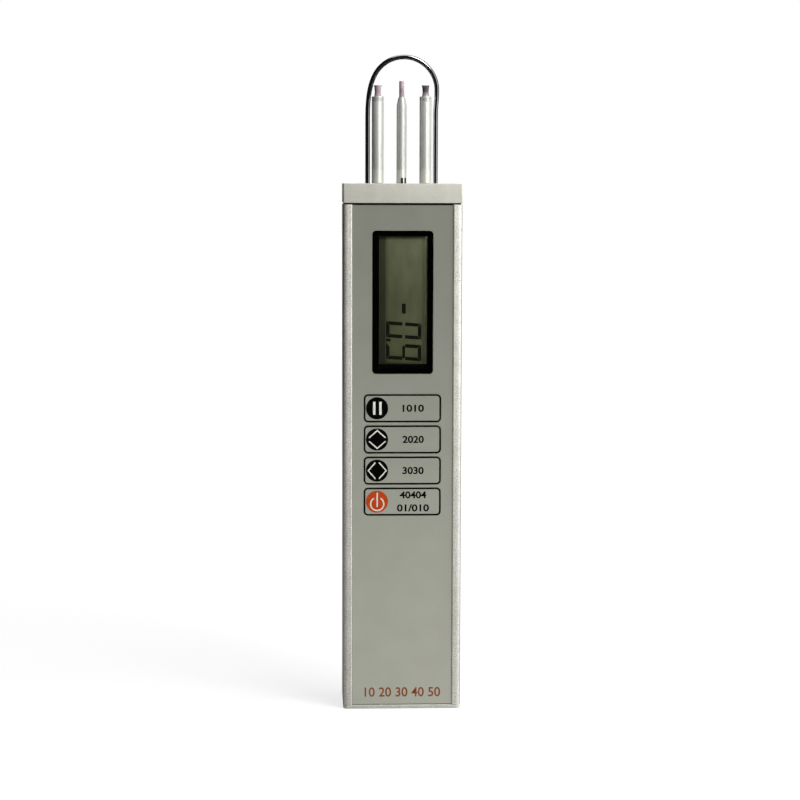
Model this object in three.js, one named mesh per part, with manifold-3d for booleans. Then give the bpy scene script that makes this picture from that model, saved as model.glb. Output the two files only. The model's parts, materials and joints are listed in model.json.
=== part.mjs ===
// A hand-held digital tension meter for yarn and fine wire, in millimetres.
// It stands on its bottom plate: +Z runs up to the yarn guides, the display faces -Y and +X is to its right.
// The origin is at the middle of the bottom plate's lower face.
import * as THREE from 'three';
import { mergeVertices } from 'three/addons/utils/BufferGeometryUtils.js';
import Module from 'manifold-3d';

const wasm = await Module();
wasm.setup();

// General clearances
const fitGap = 0.05;
const pressGap = 0.05;
const overrun = 1;

// Battery, a rectangular 9 V block that stands on the bottom plate
const batteryWidth = 26.2;
const batteryDepth = 17.2;
const batteryBodyLength = 46.4;
const batteryCornerRadius = 2.5;
const batterySideGap = 0.25;
const batteryEndGap = 0.4;
const batteryBackGap = 0.3;
const batteryFrontGap = 1.2;
const terminalPitch = 12.7;
const plusTerminalRadius = 2.9;
const minusTerminalRadius = 3.7;
const terminalHeight = 2.1;

// Battery snap and its twin lead
const snapLength = 24.6;
const snapDepth = 11;
const snapThickness = 3.2;
const snapCornerRadius = 3;
const terminalClearance = 0.15;
const leadCoreRadius = 0.55;
const leadWebShare = 0.53;
const leadToBoardGap = 6.3;
const leadExitOffset = 6;
const leadLanding = 3.4;

// Case walls, a single extrusion that is open along its front
const sideWall = 1.8;
const backWall = 1.8;
const caseCornerRadius = 1.6;
const railWidth = 2.6;
const railThickness = 0.8;
const railBevel = 0.25;

// Screw ports that run the whole length of the case, and the small screws in them
const portRadius = 1.85;
const screwInset = 2.3;
const ledgeStep = 0.2;
const smallScrewRadius = 0.95;
const threadGap = 0.06;
const smallHeadRadius = 1.8;
const smallHeadHeight = 0.85;
const headRecess = 0.08;
const caseScrewLength = 7;
const driveSlotWidth = 0.45;
const driveSlotSpan = 2;
const driveSlotDepth = 0.5;

// End plates and the seal under the head plate
const bottomPlateThickness = 1.1;
const bottomPlateCornerRadius = 1.6;
const plateBevel = 0.2;
const headPlateThickness = 5.7;
const headPlateCornerRadius = 0.4;
const sealThickness = 0.4;
const sealInset = 0.35;
const spigotDepth = 2;
const spigotCornerRadius = 1.1;
const spigotClearance = 0.15;

// Front panel, a flat aluminium sheet behind the rails, and the printed film on it
const panelThickness = 1.2;
const panelSideGap = 0.15;
const panelEndGap = 0.2;
const filmThickness = 0.3;
const filmSideGap = 0.1;

// Four film keys and the switches behind them
const keyCount = 4;
const keyWidth = 22.75;
const keyHeight = 8.25;
const keySpacing = 1.025;
const keyCornerRadius = 1.25;
const keySlit = 0.1;
const keyPocketGap = 0.3;
const keyPocketDepth = 0.65;
const plungerRadius = 1.75;
const plungerHoleGap = 0.35;
const plungerBoreGap = 0.1;
const plungerEngagement = 0.75;
const plungerBoreDepth = 1.4;
const switchSide = 6;
const switchHeight = 3.5;
const keyToBoardEdge = 4.95;

// Display: a clear window with a dark printed border, and the glass cell behind it
const bezelWidth = 17.9;
const bezelHeight = 42.1;
const bezelCornerRadius = 1.1;
const windowThickness = 1;
const windowFitGap = 0.06;
const borderWidth = 1.9;
const borderHeight = 1.65;
const viewShift = 0.15;
const viewRimGap = 0.25;
const keyToBezel = 6.05;
const bezelToHead = 7.7;
const glassSideLap = 0.55;
const glassEndLap = 1.45;
const glassThickness = 2.2;
const glassFrontGap = 0.2;
const stripWidth = 1.6;
const stripHeight = 2.1;
const stripEndGap = 2.7;
const stripInset = 0.35;
const frameWall = 1.35;
const frameGap = 0.15;

// Circuit board, the studs that carry it and its chips
const boardThickness = 1.6;
const boardSideGap = 0.5;
const boardPortGap = 0.1;
const boardHeadGap = 3.2;
const studRadius = 2;
const studSideGap = 0.3;
const studAboveEdge = 2.6;
const boardScrewLength = 4.6;
const boardHeadHeight = 1.2;
const boardScrewTip = 0.5;
const controlChipSide = 9;
const converterChipSide = 6;
const chipThickness = 1.5;
const controlChipRise = 14;
const chipSpacing = 14;

// Tension sensor behind the board: bracket, bending beam and stem holder
const boardToHolder = 1;
const holderWidth = 8;
const holderFoot = 0.55;
const holderFloor = 0.45;
const holderFrontDepth = 2.2;
const holderBackDepth = 2.4;
const stemSocketDepth = 8.2;
const beamWidth = 12;
const beamThickness = 5;
const beamBendGap = 0.1;
const beamBendToHolder = 3.75;
const beamHoleRadius = 1.8;
const beamHolePitch = 10;
const beamSlotHeight = 1.2;
const beamHeadGap = 6.7;
const gaugeWidth = 4.5;
const gaugeLength = 11;
const gaugeThickness = 0.2;
const padThickness = 0.6;
const padLength = 11;
const bracketThickness = 1.4;
const bracketWidth = 12;
const bracketBackGap = 0.2;
const flangeThickness = 1.5;
const flangeEdge = 0.55;
const flangeNutGap = 0.6;
const flangeHeadGap = 0.15;
const mediumScrewRadius = 1.25;
const mediumHeadRadius = 2.15;
const mediumHeadHeight = 1.6;
const mediumSocketRadius = 1;
const beamScrewGap = 0.7;
const beamScrewInset = 3;
const flangeScrewLength = 5.5;
const grubRadius = 0.9;
const grubDrop = 4;
const sensorLeadRadius = 0.5;
const sensorLeadOffset = 4.4;

// Guide posts, their nuts and ceramic tips
const postSpread = 7.09;
const postRadius = 1.75;
const postHeight = 25.6;
const postTipStep = 0.07;
const postTipLength = 1.3;
const postBevel = 0.2;
const shankRadius = 1.25;
const nutRadius = 2.8;
const nutHeight = 2;
const nutSides = 6;
const shankBelowNut = 0.4;
const guideHeight = 3.3;
const guideTopRadius = 1.2;
const guideWaistRadius = 0.9;
const guideBaseRadius = 1.08;
const guideWaistShare = 0.42;
const guidePegRadius = 0.65;
const guidePegLength = 3;
const pegEndGap = 0.3;

// Sensing stem in the middle, which bends the beam, and its ceramic pin
const stemRadius = 1.5;
const stemTipRadius = 0.92;
const stemShoulderRadius = 1.4;
const stemShoulderDrop = 2.1;
const stemBelowPosts = 0.1;
const stemTaper = 4.6;
const stemHoleGap = 0.8;
const stemFootBevel = 0.3;
const pinRadius = 0.74;
const pinHeight = 4.65;
const pinTipRound = 0.15;
const wrenchSlotWidth = 0.7;
const wrenchSlotHeight = 1.65;
const wrenchSlotDepth = 0.6;
const wrenchSlotCount = 2;
const wrenchSlotFirstTurn = THREE.MathUtils.degToRad(4);
const wrenchSlotStepTurn = THREE.MathUtils.degToRad(43);

// Wire guard, an uneven arch over the tips
const wireRadius = 0.7;
const guardToTip = 1.09;
const guardToPost = 0.54;
const guardLegDepth = 4.6;
const guardArchInset = 0.35;
const guardArchShift = 0.7;
const guardArchBelowTips = 1.38;
const guardRightBendDrop = 5.6;
const guardLeftBendDrop = 8.6;
const guardLeftHand = 5;
const guardRightHand = 3.3;
const guardArchEndTurn = THREE.MathUtils.degToRad(150);

// How finely round shapes are divided
const wideSides = 24;
const midSides = 16;
const smallSides = 10;
const wireSides = 10;
const cornerSteps = 4;
const archSteps = 16;
const bendSteps = 5;
const waistSteps = 8;

// Sensor sizes that follow the screws and the stem
const beamScrewPitch = 2 * mediumHeadRadius + beamScrewGap;
const holderHeight = holderFoot + 2 * mediumHeadRadius + holderFloor + stemSocketDepth;
const beamBendLength = beamHolePitch + 2 * beamHoleRadius;
const beamLength = padLength + beamBendGap + beamBendLength + beamBendToHolder + holderHeight + fitGap;
const flangeScrewSpread = bracketWidth / 2 + flangeHeadGap + mediumHeadRadius;
const flangeWidth = 2 * (flangeScrewSpread + mediumHeadRadius + flangeEdge);
const pegBoreDepth = guidePegLength + pegEndGap;

// Places along the height, from the bottom plate up
const caseBottomZ = bottomPlateThickness;
const batteryBottomZ = caseBottomZ + batteryEndGap;
const batteryTopZ = batteryBottomZ + batteryBodyLength;
const snapBottomZ = batteryTopZ + fitGap;
const snapTopZ = snapBottomZ + snapThickness;
const boardBottomZ = snapTopZ + leadToBoardGap;
const lowestKeyZ = boardBottomZ + keyToBoardEdge;
const keyPitch = keyHeight + keySpacing;
const highestKeyZ = lowestKeyZ + (keyCount - 1) * keyPitch;
const bezelBottomZ = highestKeyZ + keyHeight / 2 + keyToBezel;
const bezelZ = bezelBottomZ + bezelHeight / 2;
const caseTopZ = bezelBottomZ + bezelHeight + bezelToHead;
const headBottomZ = caseTopZ + sealThickness;
const headTopZ = headBottomZ + headPlateThickness;
const spigotBottomZ = caseTopZ - spigotDepth;
const boardTopZ = spigotBottomZ - boardHeadGap;
const beamTopZ = spigotBottomZ - beamHeadGap;
const beamBottomZ = beamTopZ - beamLength;
const beamBendZ = beamBottomZ + padLength + beamBendGap + beamBendLength / 2;
const holderTopZ = beamTopZ - fitGap;
const holderBottomZ = holderTopZ - holderHeight;

// Places across the width
const caseWidth = batteryWidth + 2 * (batterySideGap + portRadius + screwInset);
const caseHalf = caseWidth / 2;
const cavityHalf = caseHalf - sideWall;
const openingHalf = caseHalf - railWidth;
const portX = caseHalf - screwInset;
const spigotHalf = portX - portRadius - spigotClearance;
const studX = portX - portRadius - studRadius - studSideGap;

// Display sizes that follow the window's
const viewWidth = bezelWidth - 2 * borderWidth;
const viewHeight = bezelHeight - 2 * borderHeight;
const glassWidth = bezelWidth + 2 * glassSideLap;
const glassHeight = bezelHeight + 2 * glassEndLap;

// The stem and the guard follow the posts
const stemHeight = postHeight - stemBelowPosts;
const guardClearance = Math.max(guideTopRadius + guardToTip, postRadius + guardToPost);
const guardLegSpread = postSpread + guardClearance + wireRadius;
const guardArchRadius = guardLegSpread - guardArchInset;
const guardArchRise = postHeight + guideHeight - guardArchBelowTips;
const guardRightBendRise = postHeight - guardRightBendDrop;
const guardLeftBendRise = postHeight - guardLeftBendDrop;

// Places through the depth: the front half stacks up behind the rails
const displayDepth = glassFrontGap + glassThickness + fitGap + stripHeight + fitGap;
const portDepth = fitGap + ledgeStep + 2 * portRadius + boardPortGap;
const displayStack = Math.max(displayDepth, portDepth);
const beamStack = beamThickness + fitGap + padThickness + bracketThickness + bracketBackGap;
const holderDepth = holderFrontDepth + holderBackDepth;
const panelStack = railThickness + fitGap + panelThickness;
const sensorStack = displayStack + boardThickness + boardToHolder + holderDepth + fitGap + beamStack;
const batteryStack = batteryFrontGap + batteryDepth + batteryBackGap;
const caseDepth = panelStack + Math.max(sensorStack, batteryStack) + backWall;
const frontY = -caseDepth / 2;
const backY = caseDepth / 2;
const panelFrontY = frontY + railThickness + fitGap;
const panelBackY = panelFrontY + panelThickness;
const filmBackY = panelFrontY - fitGap;
const filmFrontY = filmBackY - filmThickness;
const glassFrontY = panelBackY + glassFrontGap;
const glassBackY = glassFrontY + glassThickness;
const boardFrontY = panelBackY + displayStack;
const boardBackY = boardFrontY + boardThickness;
const cavityBackY = backY - backWall;
const bracketBackY = cavityBackY - bracketBackGap;
const bracketFrontY = bracketBackY - bracketThickness;
const beamBackY = bracketFrontY - padThickness - fitGap;
const beamFrontY = beamBackY - beamThickness;
const guideY = beamFrontY - fitGap - holderBackDepth;
const flangeFrontY = guideY + nutRadius + flangeNutGap;
const flangeScrewY = (flangeFrontY + bracketBackY) / 2;
const portFrontY = panelBackY + fitGap + ledgeStep + portRadius;
const portBackY = backY - screwInset;
const portPlaces = {
  front_left: [-portX, portFrontY],
  front_right: [portX, portFrontY],
  back_left: [-portX, portBackY],
  back_right: [portX, portBackY],
};

// Colours, roughness and metalness
const looks = {
  satinAluminium: [0xc6c4b9, 0.42, 0.9],
  blastedAluminium: [0xc9c7bc, 0.6, 0.8],
  turnedAluminium: [0xcfcfcb, 0.3, 1],
  film: [0x989a8c, 0.55, 0.1],
  window: [0x15160f, 0.12, 0],
  displayGlass: [0x5e6247, 0.2, 0],
  chrome: [0xd8dadb, 0.08, 1],
  pinkCeramic: [0xc9a9b2, 0.35, 0],
  darkCeramic: [0x7c6a73, 0.35, 0],
  steel: [0xb4b6b8, 0.3, 1],
  blackSteel: [0x2c2c2e, 0.4, 0.8],
  board: [0x1f5a37, 0.5, 0],
  blackPlastic: [0x1c1c1e, 0.5, 0],
  whitePlastic: [0xdedcd2, 0.5, 0],
  rubber: [0x17181a, 0.85, 0],
  foil: [0xc8843c, 0.4, 0.3],
  batteryJacket: [0x3a4a63, 0.45, 0.2],
  leadJacket: [0x9c2a22, 0.5, 0],
};

const meter = new THREE.Group();

function addPiece(name, body, look) {
  const [color, roughness, metalness] = looks[look];
  const material = new THREE.MeshStandardMaterial({ color, roughness, metalness });
  const mesh = new THREE.Mesh(toGeometry(body), material);
  mesh.name = name;
  meter.add(mesh);
}

// A closed geometry as a solid that can be cut and joined
function toSolid(geometry) {
  geometry.deleteAttribute('normal');
  geometry.deleteAttribute('uv');
  const welded = mergeVertices(geometry);
  const corners = welded.index.array;
  const triangles = [];
  for (let i = 0; i < corners.length; i += 3) {
    const [a, b, c] = corners.subarray(i, i + 3);
    if (a !== b && b !== c && c !== a) triangles.push(a, b, c);
  }
  const mesh = new wasm.Mesh({
    numProp: 3,
    vertProperties: new Float32Array(welded.attributes.position.array),
    triVerts: new Uint32Array(triangles),
  });
  return new wasm.Manifold(mesh);
}

function toGeometry(body) {
  const mesh = body.getMesh();
  const geometry = new THREE.BufferGeometry();
  geometry.setAttribute('position', new THREE.BufferAttribute(mesh.vertProperties, 3));
  geometry.setIndex(new THREE.BufferAttribute(mesh.triVerts, 1));
  geometry.computeVertexNormals();
  return geometry;
}

function block([x0, x1], [y0, y1], [z0, z1]) {
  const geometry = new THREE.BoxGeometry(x1 - x0, y1 - y0, z1 - z0);
  geometry.translate((x0 + x1) / 2, (y0 + y1) / 2, (z0 + z1) / 2);
  return toSolid(geometry);
}

// An upright cylinder between two heights
function post(x, y, radius, [z0, z1], sides = midSides) {
  const geometry = new THREE.CylinderGeometry(radius, radius, z1 - z0, sides);
  geometry.rotateX(Math.PI / 2);
  geometry.translate(x, y, (z0 + z1) / 2);
  return toSolid(geometry);
}

// A cylinder that lies along the depth
function depthPeg(x, z, radius, [y0, y1], sides = midSides) {
  const geometry = new THREE.CylinderGeometry(radius, radius, y1 - y0, sides);
  geometry.translate(x, (y0 + y1) / 2, z);
  return toSolid(geometry);
}

// A cylinder that lies across the width
function widthPeg(y, z, radius, [x0, x1], sides = midSides) {
  const geometry = new THREE.CylinderGeometry(radius, radius, x1 - x0, sides);
  geometry.rotateZ(Math.PI / 2);
  geometry.translate((x0 + x1) / 2, y, z);
  return toSolid(geometry);
}

// A piece turned about an upright axis, from [radius, height] pairs that start and end on the axis
function turned(profile, x, y, z, sides = wideSides) {
  const points = profile.map(([radius, height]) => new THREE.Vector2(radius, height));
  const geometry = new THREE.LatheGeometry(points, sides);
  geometry.rotateX(Math.PI / 2);
  geometry.translate(x, y, z);
  return toSolid(geometry);
}

function roundedOutline(width, height, radius, x = 0, y = 0) {
  const left = x - width / 2;
  const right = x + width / 2;
  const low = y - height / 2;
  const high = y + height / 2;
  const shape = new THREE.Shape();
  shape.absarc(right - radius, low + radius, radius, -Math.PI / 2, 0);
  shape.absarc(right - radius, high - radius, radius, 0, Math.PI / 2);
  shape.absarc(left + radius, high - radius, radius, Math.PI / 2, Math.PI);
  shape.absarc(left + radius, low + radius, radius, Math.PI, Math.PI * 1.5);
  shape.closePath();
  return shape;
}

// An outline in X and Y, raised between two heights
function raised(shape, [z0, z1], bevel = 0) {
  const geometry = new THREE.ExtrudeGeometry(shape, {
    depth: z1 - z0 - 2 * bevel,
    bevelEnabled: bevel > 0,
    bevelThickness: bevel,
    bevelSize: bevel,
    bevelOffset: -bevel,
    bevelSegments: 1,
    curveSegments: cornerSteps,
  });
  geometry.translate(0, 0, z0 + bevel);
  return toSolid(geometry);
}

// An outline in X and Z, as a sheet between two depths
function sheet(shape, [y0, y1]) {
  const geometry = new THREE.ExtrudeGeometry(shape, {
    depth: y1 - y0,
    bevelEnabled: false,
    curveSegments: cornerSteps,
  });
  geometry.rotateX(Math.PI / 2);
  geometry.translate(0, y1, 0);
  return toSolid(geometry);
}

function join(first, ...others) {
  return others.reduce((whole, other) => whole.add(other), first);
}

function cut(first, ...others) {
  return others.reduce((rest, other) => rest.subtract(other), first);
}

// A wire or lead of constant section along a list of points
function drawnAlong(points, section, steps) {
  const path = new THREE.CatmullRomCurve3(points, false, 'centripetal');
  return toSolid(new THREE.ExtrudeGeometry(section, { steps, bevelEnabled: false, extrudePath: path }));
}

function roundSection(radius, sides) {
  const corners = [];
  for (let i = 0; i < sides; i += 1) {
    const turn = (2 * Math.PI * i) / sides;
    corners.push(new THREE.Vector2(radius * Math.cos(turn), radius * Math.sin(turn)));
  }
  return new THREE.Shape(corners);
}

function caseExtrusion() {
  const beyond = [caseBottomZ - overrun, caseTopZ + overrun];
  const pastEnds = [caseBottomZ - 2 * overrun, caseTopZ + 2 * overrun];
  const cavityFrontY = frontY + railThickness;
  const mouth = new THREE.Shape([
    new THREE.Vector2(-openingHalf - railBevel, frontY),
    new THREE.Vector2(-openingHalf - railBevel, frontY - overrun),
    new THREE.Vector2(openingHalf + railBevel, frontY - overrun),
    new THREE.Vector2(openingHalf + railBevel, frontY),
    new THREE.Vector2(openingHalf, frontY + railBevel),
    new THREE.Vector2(openingHalf, cavityFrontY + overrun),
    new THREE.Vector2(-openingHalf, cavityFrontY + overrun),
    new THREE.Vector2(-openingHalf, frontY + railBevel),
  ]);
  const shell = cut(
    raised(roundedOutline(caseWidth, caseDepth, caseCornerRadius), beyond),
    block([-cavityHalf, cavityHalf], [cavityFrontY, cavityBackY], pastEnds),
    raised(mouth, pastEnds),
  );
  const ports = Object.values(portPlaces).map(([x, y]) => post(x, y, portRadius, beyond));
  const ledgeStartX = portX - portRadius + ledgeStep;
  const ledgeEndX = caseHalf - sideWall / 2;
  const ledgeSpan = [panelBackY + fitGap, portFrontY];
  const ledges = [[ledgeStartX, ledgeEndX], [-ledgeEndX, -ledgeStartX]].map((across) => (
    block(across, ledgeSpan, beyond)
  ));
  const bores = Object.values(portPlaces).map(([x, y]) => (
    post(x, y, smallScrewRadius + threadGap, pastEnds, smallSides)
  ));
  const sawnLength = block([-caseWidth, caseWidth], [-caseDepth, caseDepth], [caseBottomZ, caseTopZ]);
  return cut(join(shell, ...ports, ...ledges), ...bores).intersect(sawnLength);
}

// A countersunk screw with a cross recess: its head is flush at height z and it points along direction
function countersunkScrew(x, y, z, direction, length) {
  const neck = smallHeadRadius - smallScrewRadius;
  const profile = [
    [0, -length],
    [smallScrewRadius - threadGap, -length],
    [smallScrewRadius - threadGap, -smallHeadHeight],
    [smallScrewRadius, -smallHeadHeight],
    [smallScrewRadius + neck, 0],
    [0, 0],
  ];
  const screw = turned(profile, 0, 0, 0, smallSides);
  const half = driveSlotWidth / 2;
  const reach = driveSlotSpan / 2;
  const drop = [-driveSlotDepth, overrun];
  const recessed = cut(
    screw,
    block([-half, half], [-reach, reach], drop),
    block([-reach, reach], [-half, half], drop),
  );
  const turn = direction < 0 ? 0 : 180;
  return recessed.rotate([turn, 0, 0]).translate([x, y, z]);
}

// The flared hole that a countersunk head lies in
function screwSeat(x, y, faceZ, direction, thickness) {
  const radius = smallHeadRadius + fitGap;
  const bore = smallScrewRadius + fitGap;
  const depth = smallHeadHeight + headRecess;
  const profile = [
    [0, -thickness - overrun],
    [bore, -thickness - overrun],
    [bore, -depth - fitGap],
    [radius, -headRecess],
    [radius, overrun],
    [0, overrun],
  ];
  const turn = direction < 0 ? 0 : 180;
  return turned(profile, 0, 0, 0, smallSides).rotate([turn, 0, 0]).translate([x, y, faceZ]);
}

function endPlate(cornerRadius, [z0, z1], faceZ, direction) {
  const plate = raised(roundedOutline(caseWidth, caseDepth, cornerRadius), [z0, z1], plateBevel);
  const seats = Object.values(portPlaces).map(([x, y]) => screwSeat(x, y, faceZ, direction, z1 - z0));
  return cut(plate, ...seats);
}

function spigotOutline(clearance) {
  const front = panelBackY + spigotClearance + clearance;
  const back = cavityBackY - spigotClearance - clearance;
  const width = 2 * (spigotHalf - clearance);
  return roundedOutline(width, back - front, spigotCornerRadius, 0, (front + back) / 2);
}

function headPlate() {
  const plate = endPlate(headPlateCornerRadius, [headBottomZ, headTopZ], headTopZ, -1);
  const spigot = raised(spigotOutline(0), [spigotBottomZ, headBottomZ + plateBevel + fitGap]);
  const through = [spigotBottomZ - overrun, headTopZ + overrun];
  const postHoles = [-1, 1].map((side) => post(side * postSpread, guideY, shankRadius + fitGap, through));
  const stemHole = post(0, guideY, stemRadius + stemHoleGap, through, wideSides);
  const legHoles = [-1, 1].map((side) => post(
    side * guardLegSpread,
    guideY,
    wireRadius + pressGap,
    [headTopZ - guardLegDepth - pressGap, headTopZ + overrun],
  ));
  const flangeHoles = [-1, 1].map((side) => post(
    side * flangeScrewSpread,
    flangeScrewY,
    mediumScrewRadius + threadGap,
    [spigotBottomZ - overrun, spigotBottomZ + flangeScrewLength],
    smallSides,
  ));
  return cut(join(plate, spigot), ...postHoles, stemHole, ...legHoles, ...flangeHoles);
}

function headSeal() {
  const outline = roundedOutline(caseWidth - 2 * sealInset, caseDepth - 2 * sealInset, spigotCornerRadius);
  const span = [caseTopZ + fitGap, headBottomZ - fitGap];
  const beyond = [span[0] - overrun, span[1] + overrun];
  const screwHoles = Object.values(portPlaces).map(([x, y]) => (
    post(x, y, smallScrewRadius + spigotClearance, beyond, smallSides)
  ));
  return cut(raised(outline, span), raised(spigotOutline(-fitGap), beyond), ...screwHoles);
}

function keyZ(index) {
  return highestKeyZ - index * keyPitch;
}

function keyOutline(index, margin) {
  const radius = keyCornerRadius + margin;
  return roundedOutline(keyWidth + 2 * margin, keyHeight + 2 * margin, radius, 0, keyZ(index));
}

function bezelOutline(margin) {
  const radius = bezelCornerRadius + margin;
  return roundedOutline(bezelWidth + 2 * margin, bezelHeight + 2 * margin, radius, 0, bezelZ);
}

function studPlaces() {
  return [-1, 1].map((side) => [side * studX, boardBottomZ + studAboveEdge]);
}

function frontPanel() {
  const width = 2 * (cavityHalf - panelSideGap);
  const left = -width / 2;
  const bottom = caseBottomZ + panelEndGap;
  const top = caseTopZ - panelEndGap;
  const plate = block([left, -left], [panelFrontY, panelBackY], [bottom, top]);
  const pastBoth = [panelFrontY - overrun, panelBackY + overrun];
  const viewHole = roundedOutline(
    viewWidth + 2 * viewRimGap,
    viewHeight + 2 * viewRimGap,
    bezelCornerRadius,
    viewShift,
    bezelZ,
  );
  const tools = [
    sheet(viewHole, pastBoth),
    sheet(bezelOutline(windowFitGap), [panelFrontY - overrun, filmFrontY + windowThickness + fitGap]),
  ];
  for (let i = 0; i < keyCount; i += 1) {
    tools.push(sheet(keyOutline(i, keyPocketGap), [panelFrontY - overrun, panelFrontY + keyPocketDepth]));
    tools.push(depthPeg(0, keyZ(i), plungerRadius + plungerHoleGap, pastBoth));
  }
  const studSpan = [panelBackY - fitGap, boardFrontY - fitGap];
  const studs = studPlaces().map(([x, z]) => depthPeg(x, z, studRadius, studSpan));
  const threads = studPlaces().map(([x, z]) => depthPeg(
    x,
    z,
    smallScrewRadius + threadGap,
    [boardFrontY - boardScrewLength, boardFrontY + overrun],
    smallSides,
  ));
  return cut(join(cut(plate, ...tools), ...studs), ...threads);
}

function panelFilm() {
  const width = 2 * (openingHalf - filmSideGap);
  const bottom = caseBottomZ + panelEndGap;
  const top = caseTopZ - panelEndGap;
  const film = block([-width / 2, width / 2], [filmFrontY, filmBackY], [bottom, top]);
  const pastBoth = [filmFrontY - overrun, filmBackY + overrun];
  const tools = [sheet(bezelOutline(windowFitGap), pastBoth)];
  for (let i = 0; i < keyCount; i += 1) tools.push(sheet(keyOutline(i, keySlit), pastBoth));
  return cut(film, ...tools);
}

// One key: the film pad, the plunger behind it and the switch that the plunger works
function addKey(index) {
  const name = `key_${index + 1}`;
  const z = keyZ(index);
  const switchBackY = boardFrontY - fitGap;
  const switchFrontY = switchBackY - switchHeight;
  const half = switchSide / 2;
  addPiece(`${name}_pad`, sheet(keyOutline(index, 0), [filmFrontY, filmBackY]), 'film');
  addPiece(
    `${name}_plunger`,
    depthPeg(0, z, plungerRadius, [filmBackY + fitGap, switchFrontY + plungerEngagement]),
    'blackPlastic',
  );
  const bore = depthPeg(
    0,
    z,
    plungerRadius + plungerBoreGap,
    [switchFrontY - overrun, switchFrontY + plungerBoreDepth],
  );
  addPiece(
    `${name}_switch`,
    cut(block([-half, half], [switchFrontY, switchBackY], [z - half, z + half]), bore),
    'blackPlastic',
  );
}

function addDisplay() {
  const windowSpan = [filmFrontY, filmFrontY + windowThickness];
  addPiece('display_window', sheet(bezelOutline(0), windowSpan), 'window');
  const glassHalf = glassWidth / 2;
  const glassLow = bezelZ - glassHeight / 2;
  const glassHigh = bezelZ + glassHeight / 2;
  addPiece(
    'display_glass',
    block([-glassHalf, glassHalf], [glassFrontY, glassBackY], [glassLow, glassHigh]),
    'displayGlass',
  );
  const inner = frameGap;
  const outer = frameGap + frameWall;
  const frameSpan = [panelBackY + fitGap, boardFrontY - fitGap];
  const pastBoth = [frameSpan[0] - overrun, frameSpan[1] + overrun];
  const frame = cut(
    block([-glassHalf - outer, glassHalf + outer], frameSpan, [glassLow - outer, glassHigh + outer]),
    block([-glassHalf - inner, glassHalf + inner], pastBoth, [glassLow - inner, glassHigh + inner]),
  );
  addPiece('display_frame', frame, 'whitePlastic');
  const stripHalf = glassHeight / 2 - stripEndGap;
  const outerX = glassHalf - stripInset;
  const stripSpan = [glassBackY + fitGap, boardFrontY - fitGap];
  const stripZ = [bezelZ - stripHalf, bezelZ + stripHalf];
  addPiece('contact_strip_left', block([-outerX, stripWidth - outerX], stripSpan, stripZ), 'rubber');
  addPiece('contact_strip_right', block([outerX - stripWidth, outerX], stripSpan, stripZ), 'rubber');
}

function addBoard() {
  const half = cavityHalf - boardSideGap;
  const pastBoth = [boardFrontY - overrun, boardBackY + overrun];
  const holes = studPlaces().map(([x, z]) => depthPeg(x, z, smallScrewRadius + fitGap, pastBoth, smallSides));
  addPiece(
    'circuit_board',
    cut(block([-half, half], [boardFrontY, boardBackY], [boardBottomZ, boardTopZ]), ...holes),
    'board',
  );
  studPlaces().forEach(([x, z], i) => {
    const tipY = boardFrontY - boardScrewLength + boardScrewTip;
    const seatY = boardBackY + fitGap;
    const slot = driveSlotWidth / 2;
    const reach = driveSlotSpan / 2;
    const faceY = seatY + boardHeadHeight;
    const screw = join(
      depthPeg(x, z, smallScrewRadius - threadGap, [tipY, seatY + boardHeadHeight / 2], smallSides),
      depthPeg(x, z, smallHeadRadius, [seatY, faceY], smallSides),
    );
    const slotSpan = [faceY - driveSlotDepth, faceY + overrun];
    const driveSlot = block([x - reach, x + reach], slotSpan, [z - slot, z + slot]);
    addPiece(`board_screw_${i === 0 ? 'left' : 'right'}`, cut(screw, driveSlot), 'steel');
  });
  const chipSpan = [boardBackY + fitGap, boardBackY + fitGap + chipThickness];
  const chips = [['control_chip', controlChipSide], ['converter_chip', converterChipSide]];
  chips.forEach(([name, side], i) => {
    const z = boardBottomZ + controlChipRise + i * chipSpacing;
    addPiece(name, block([-side / 2, side / 2], chipSpan, [z - side / 2, z + side / 2]), 'blackPlastic');
  });
}

function addBattery() {
  const half = batteryDepth / 2;
  const y = cavityBackY - batteryBackGap - half;
  const body = roundedOutline(batteryWidth, batteryDepth, batteryCornerRadius, 0, y);
  const terminalTopZ = batteryTopZ + terminalHeight;
  const terminalX = terminalPitch / 2;
  const terminals = [[-terminalX, plusTerminalRadius], [terminalX, minusTerminalRadius]];
  const studs = terminals.map(([x, radius]) => post(x, y, radius, [batteryTopZ - fitGap, terminalTopZ]));
  addPiece('battery', join(raised(body, [batteryBottomZ, batteryTopZ]), ...studs), 'batteryJacket');
  const pockets = terminals.map(([x, radius]) => post(
    x,
    y,
    radius + terminalClearance,
    [snapBottomZ - overrun, terminalTopZ + terminalClearance],
  ));
  const snap = raised(roundedOutline(snapLength, snapDepth, snapCornerRadius, 0, y), [snapBottomZ, snapTopZ]);
  addPiece('battery_snap', cut(snap, ...pockets), 'blackPlastic');
  addBatteryLead(y);
}

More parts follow.
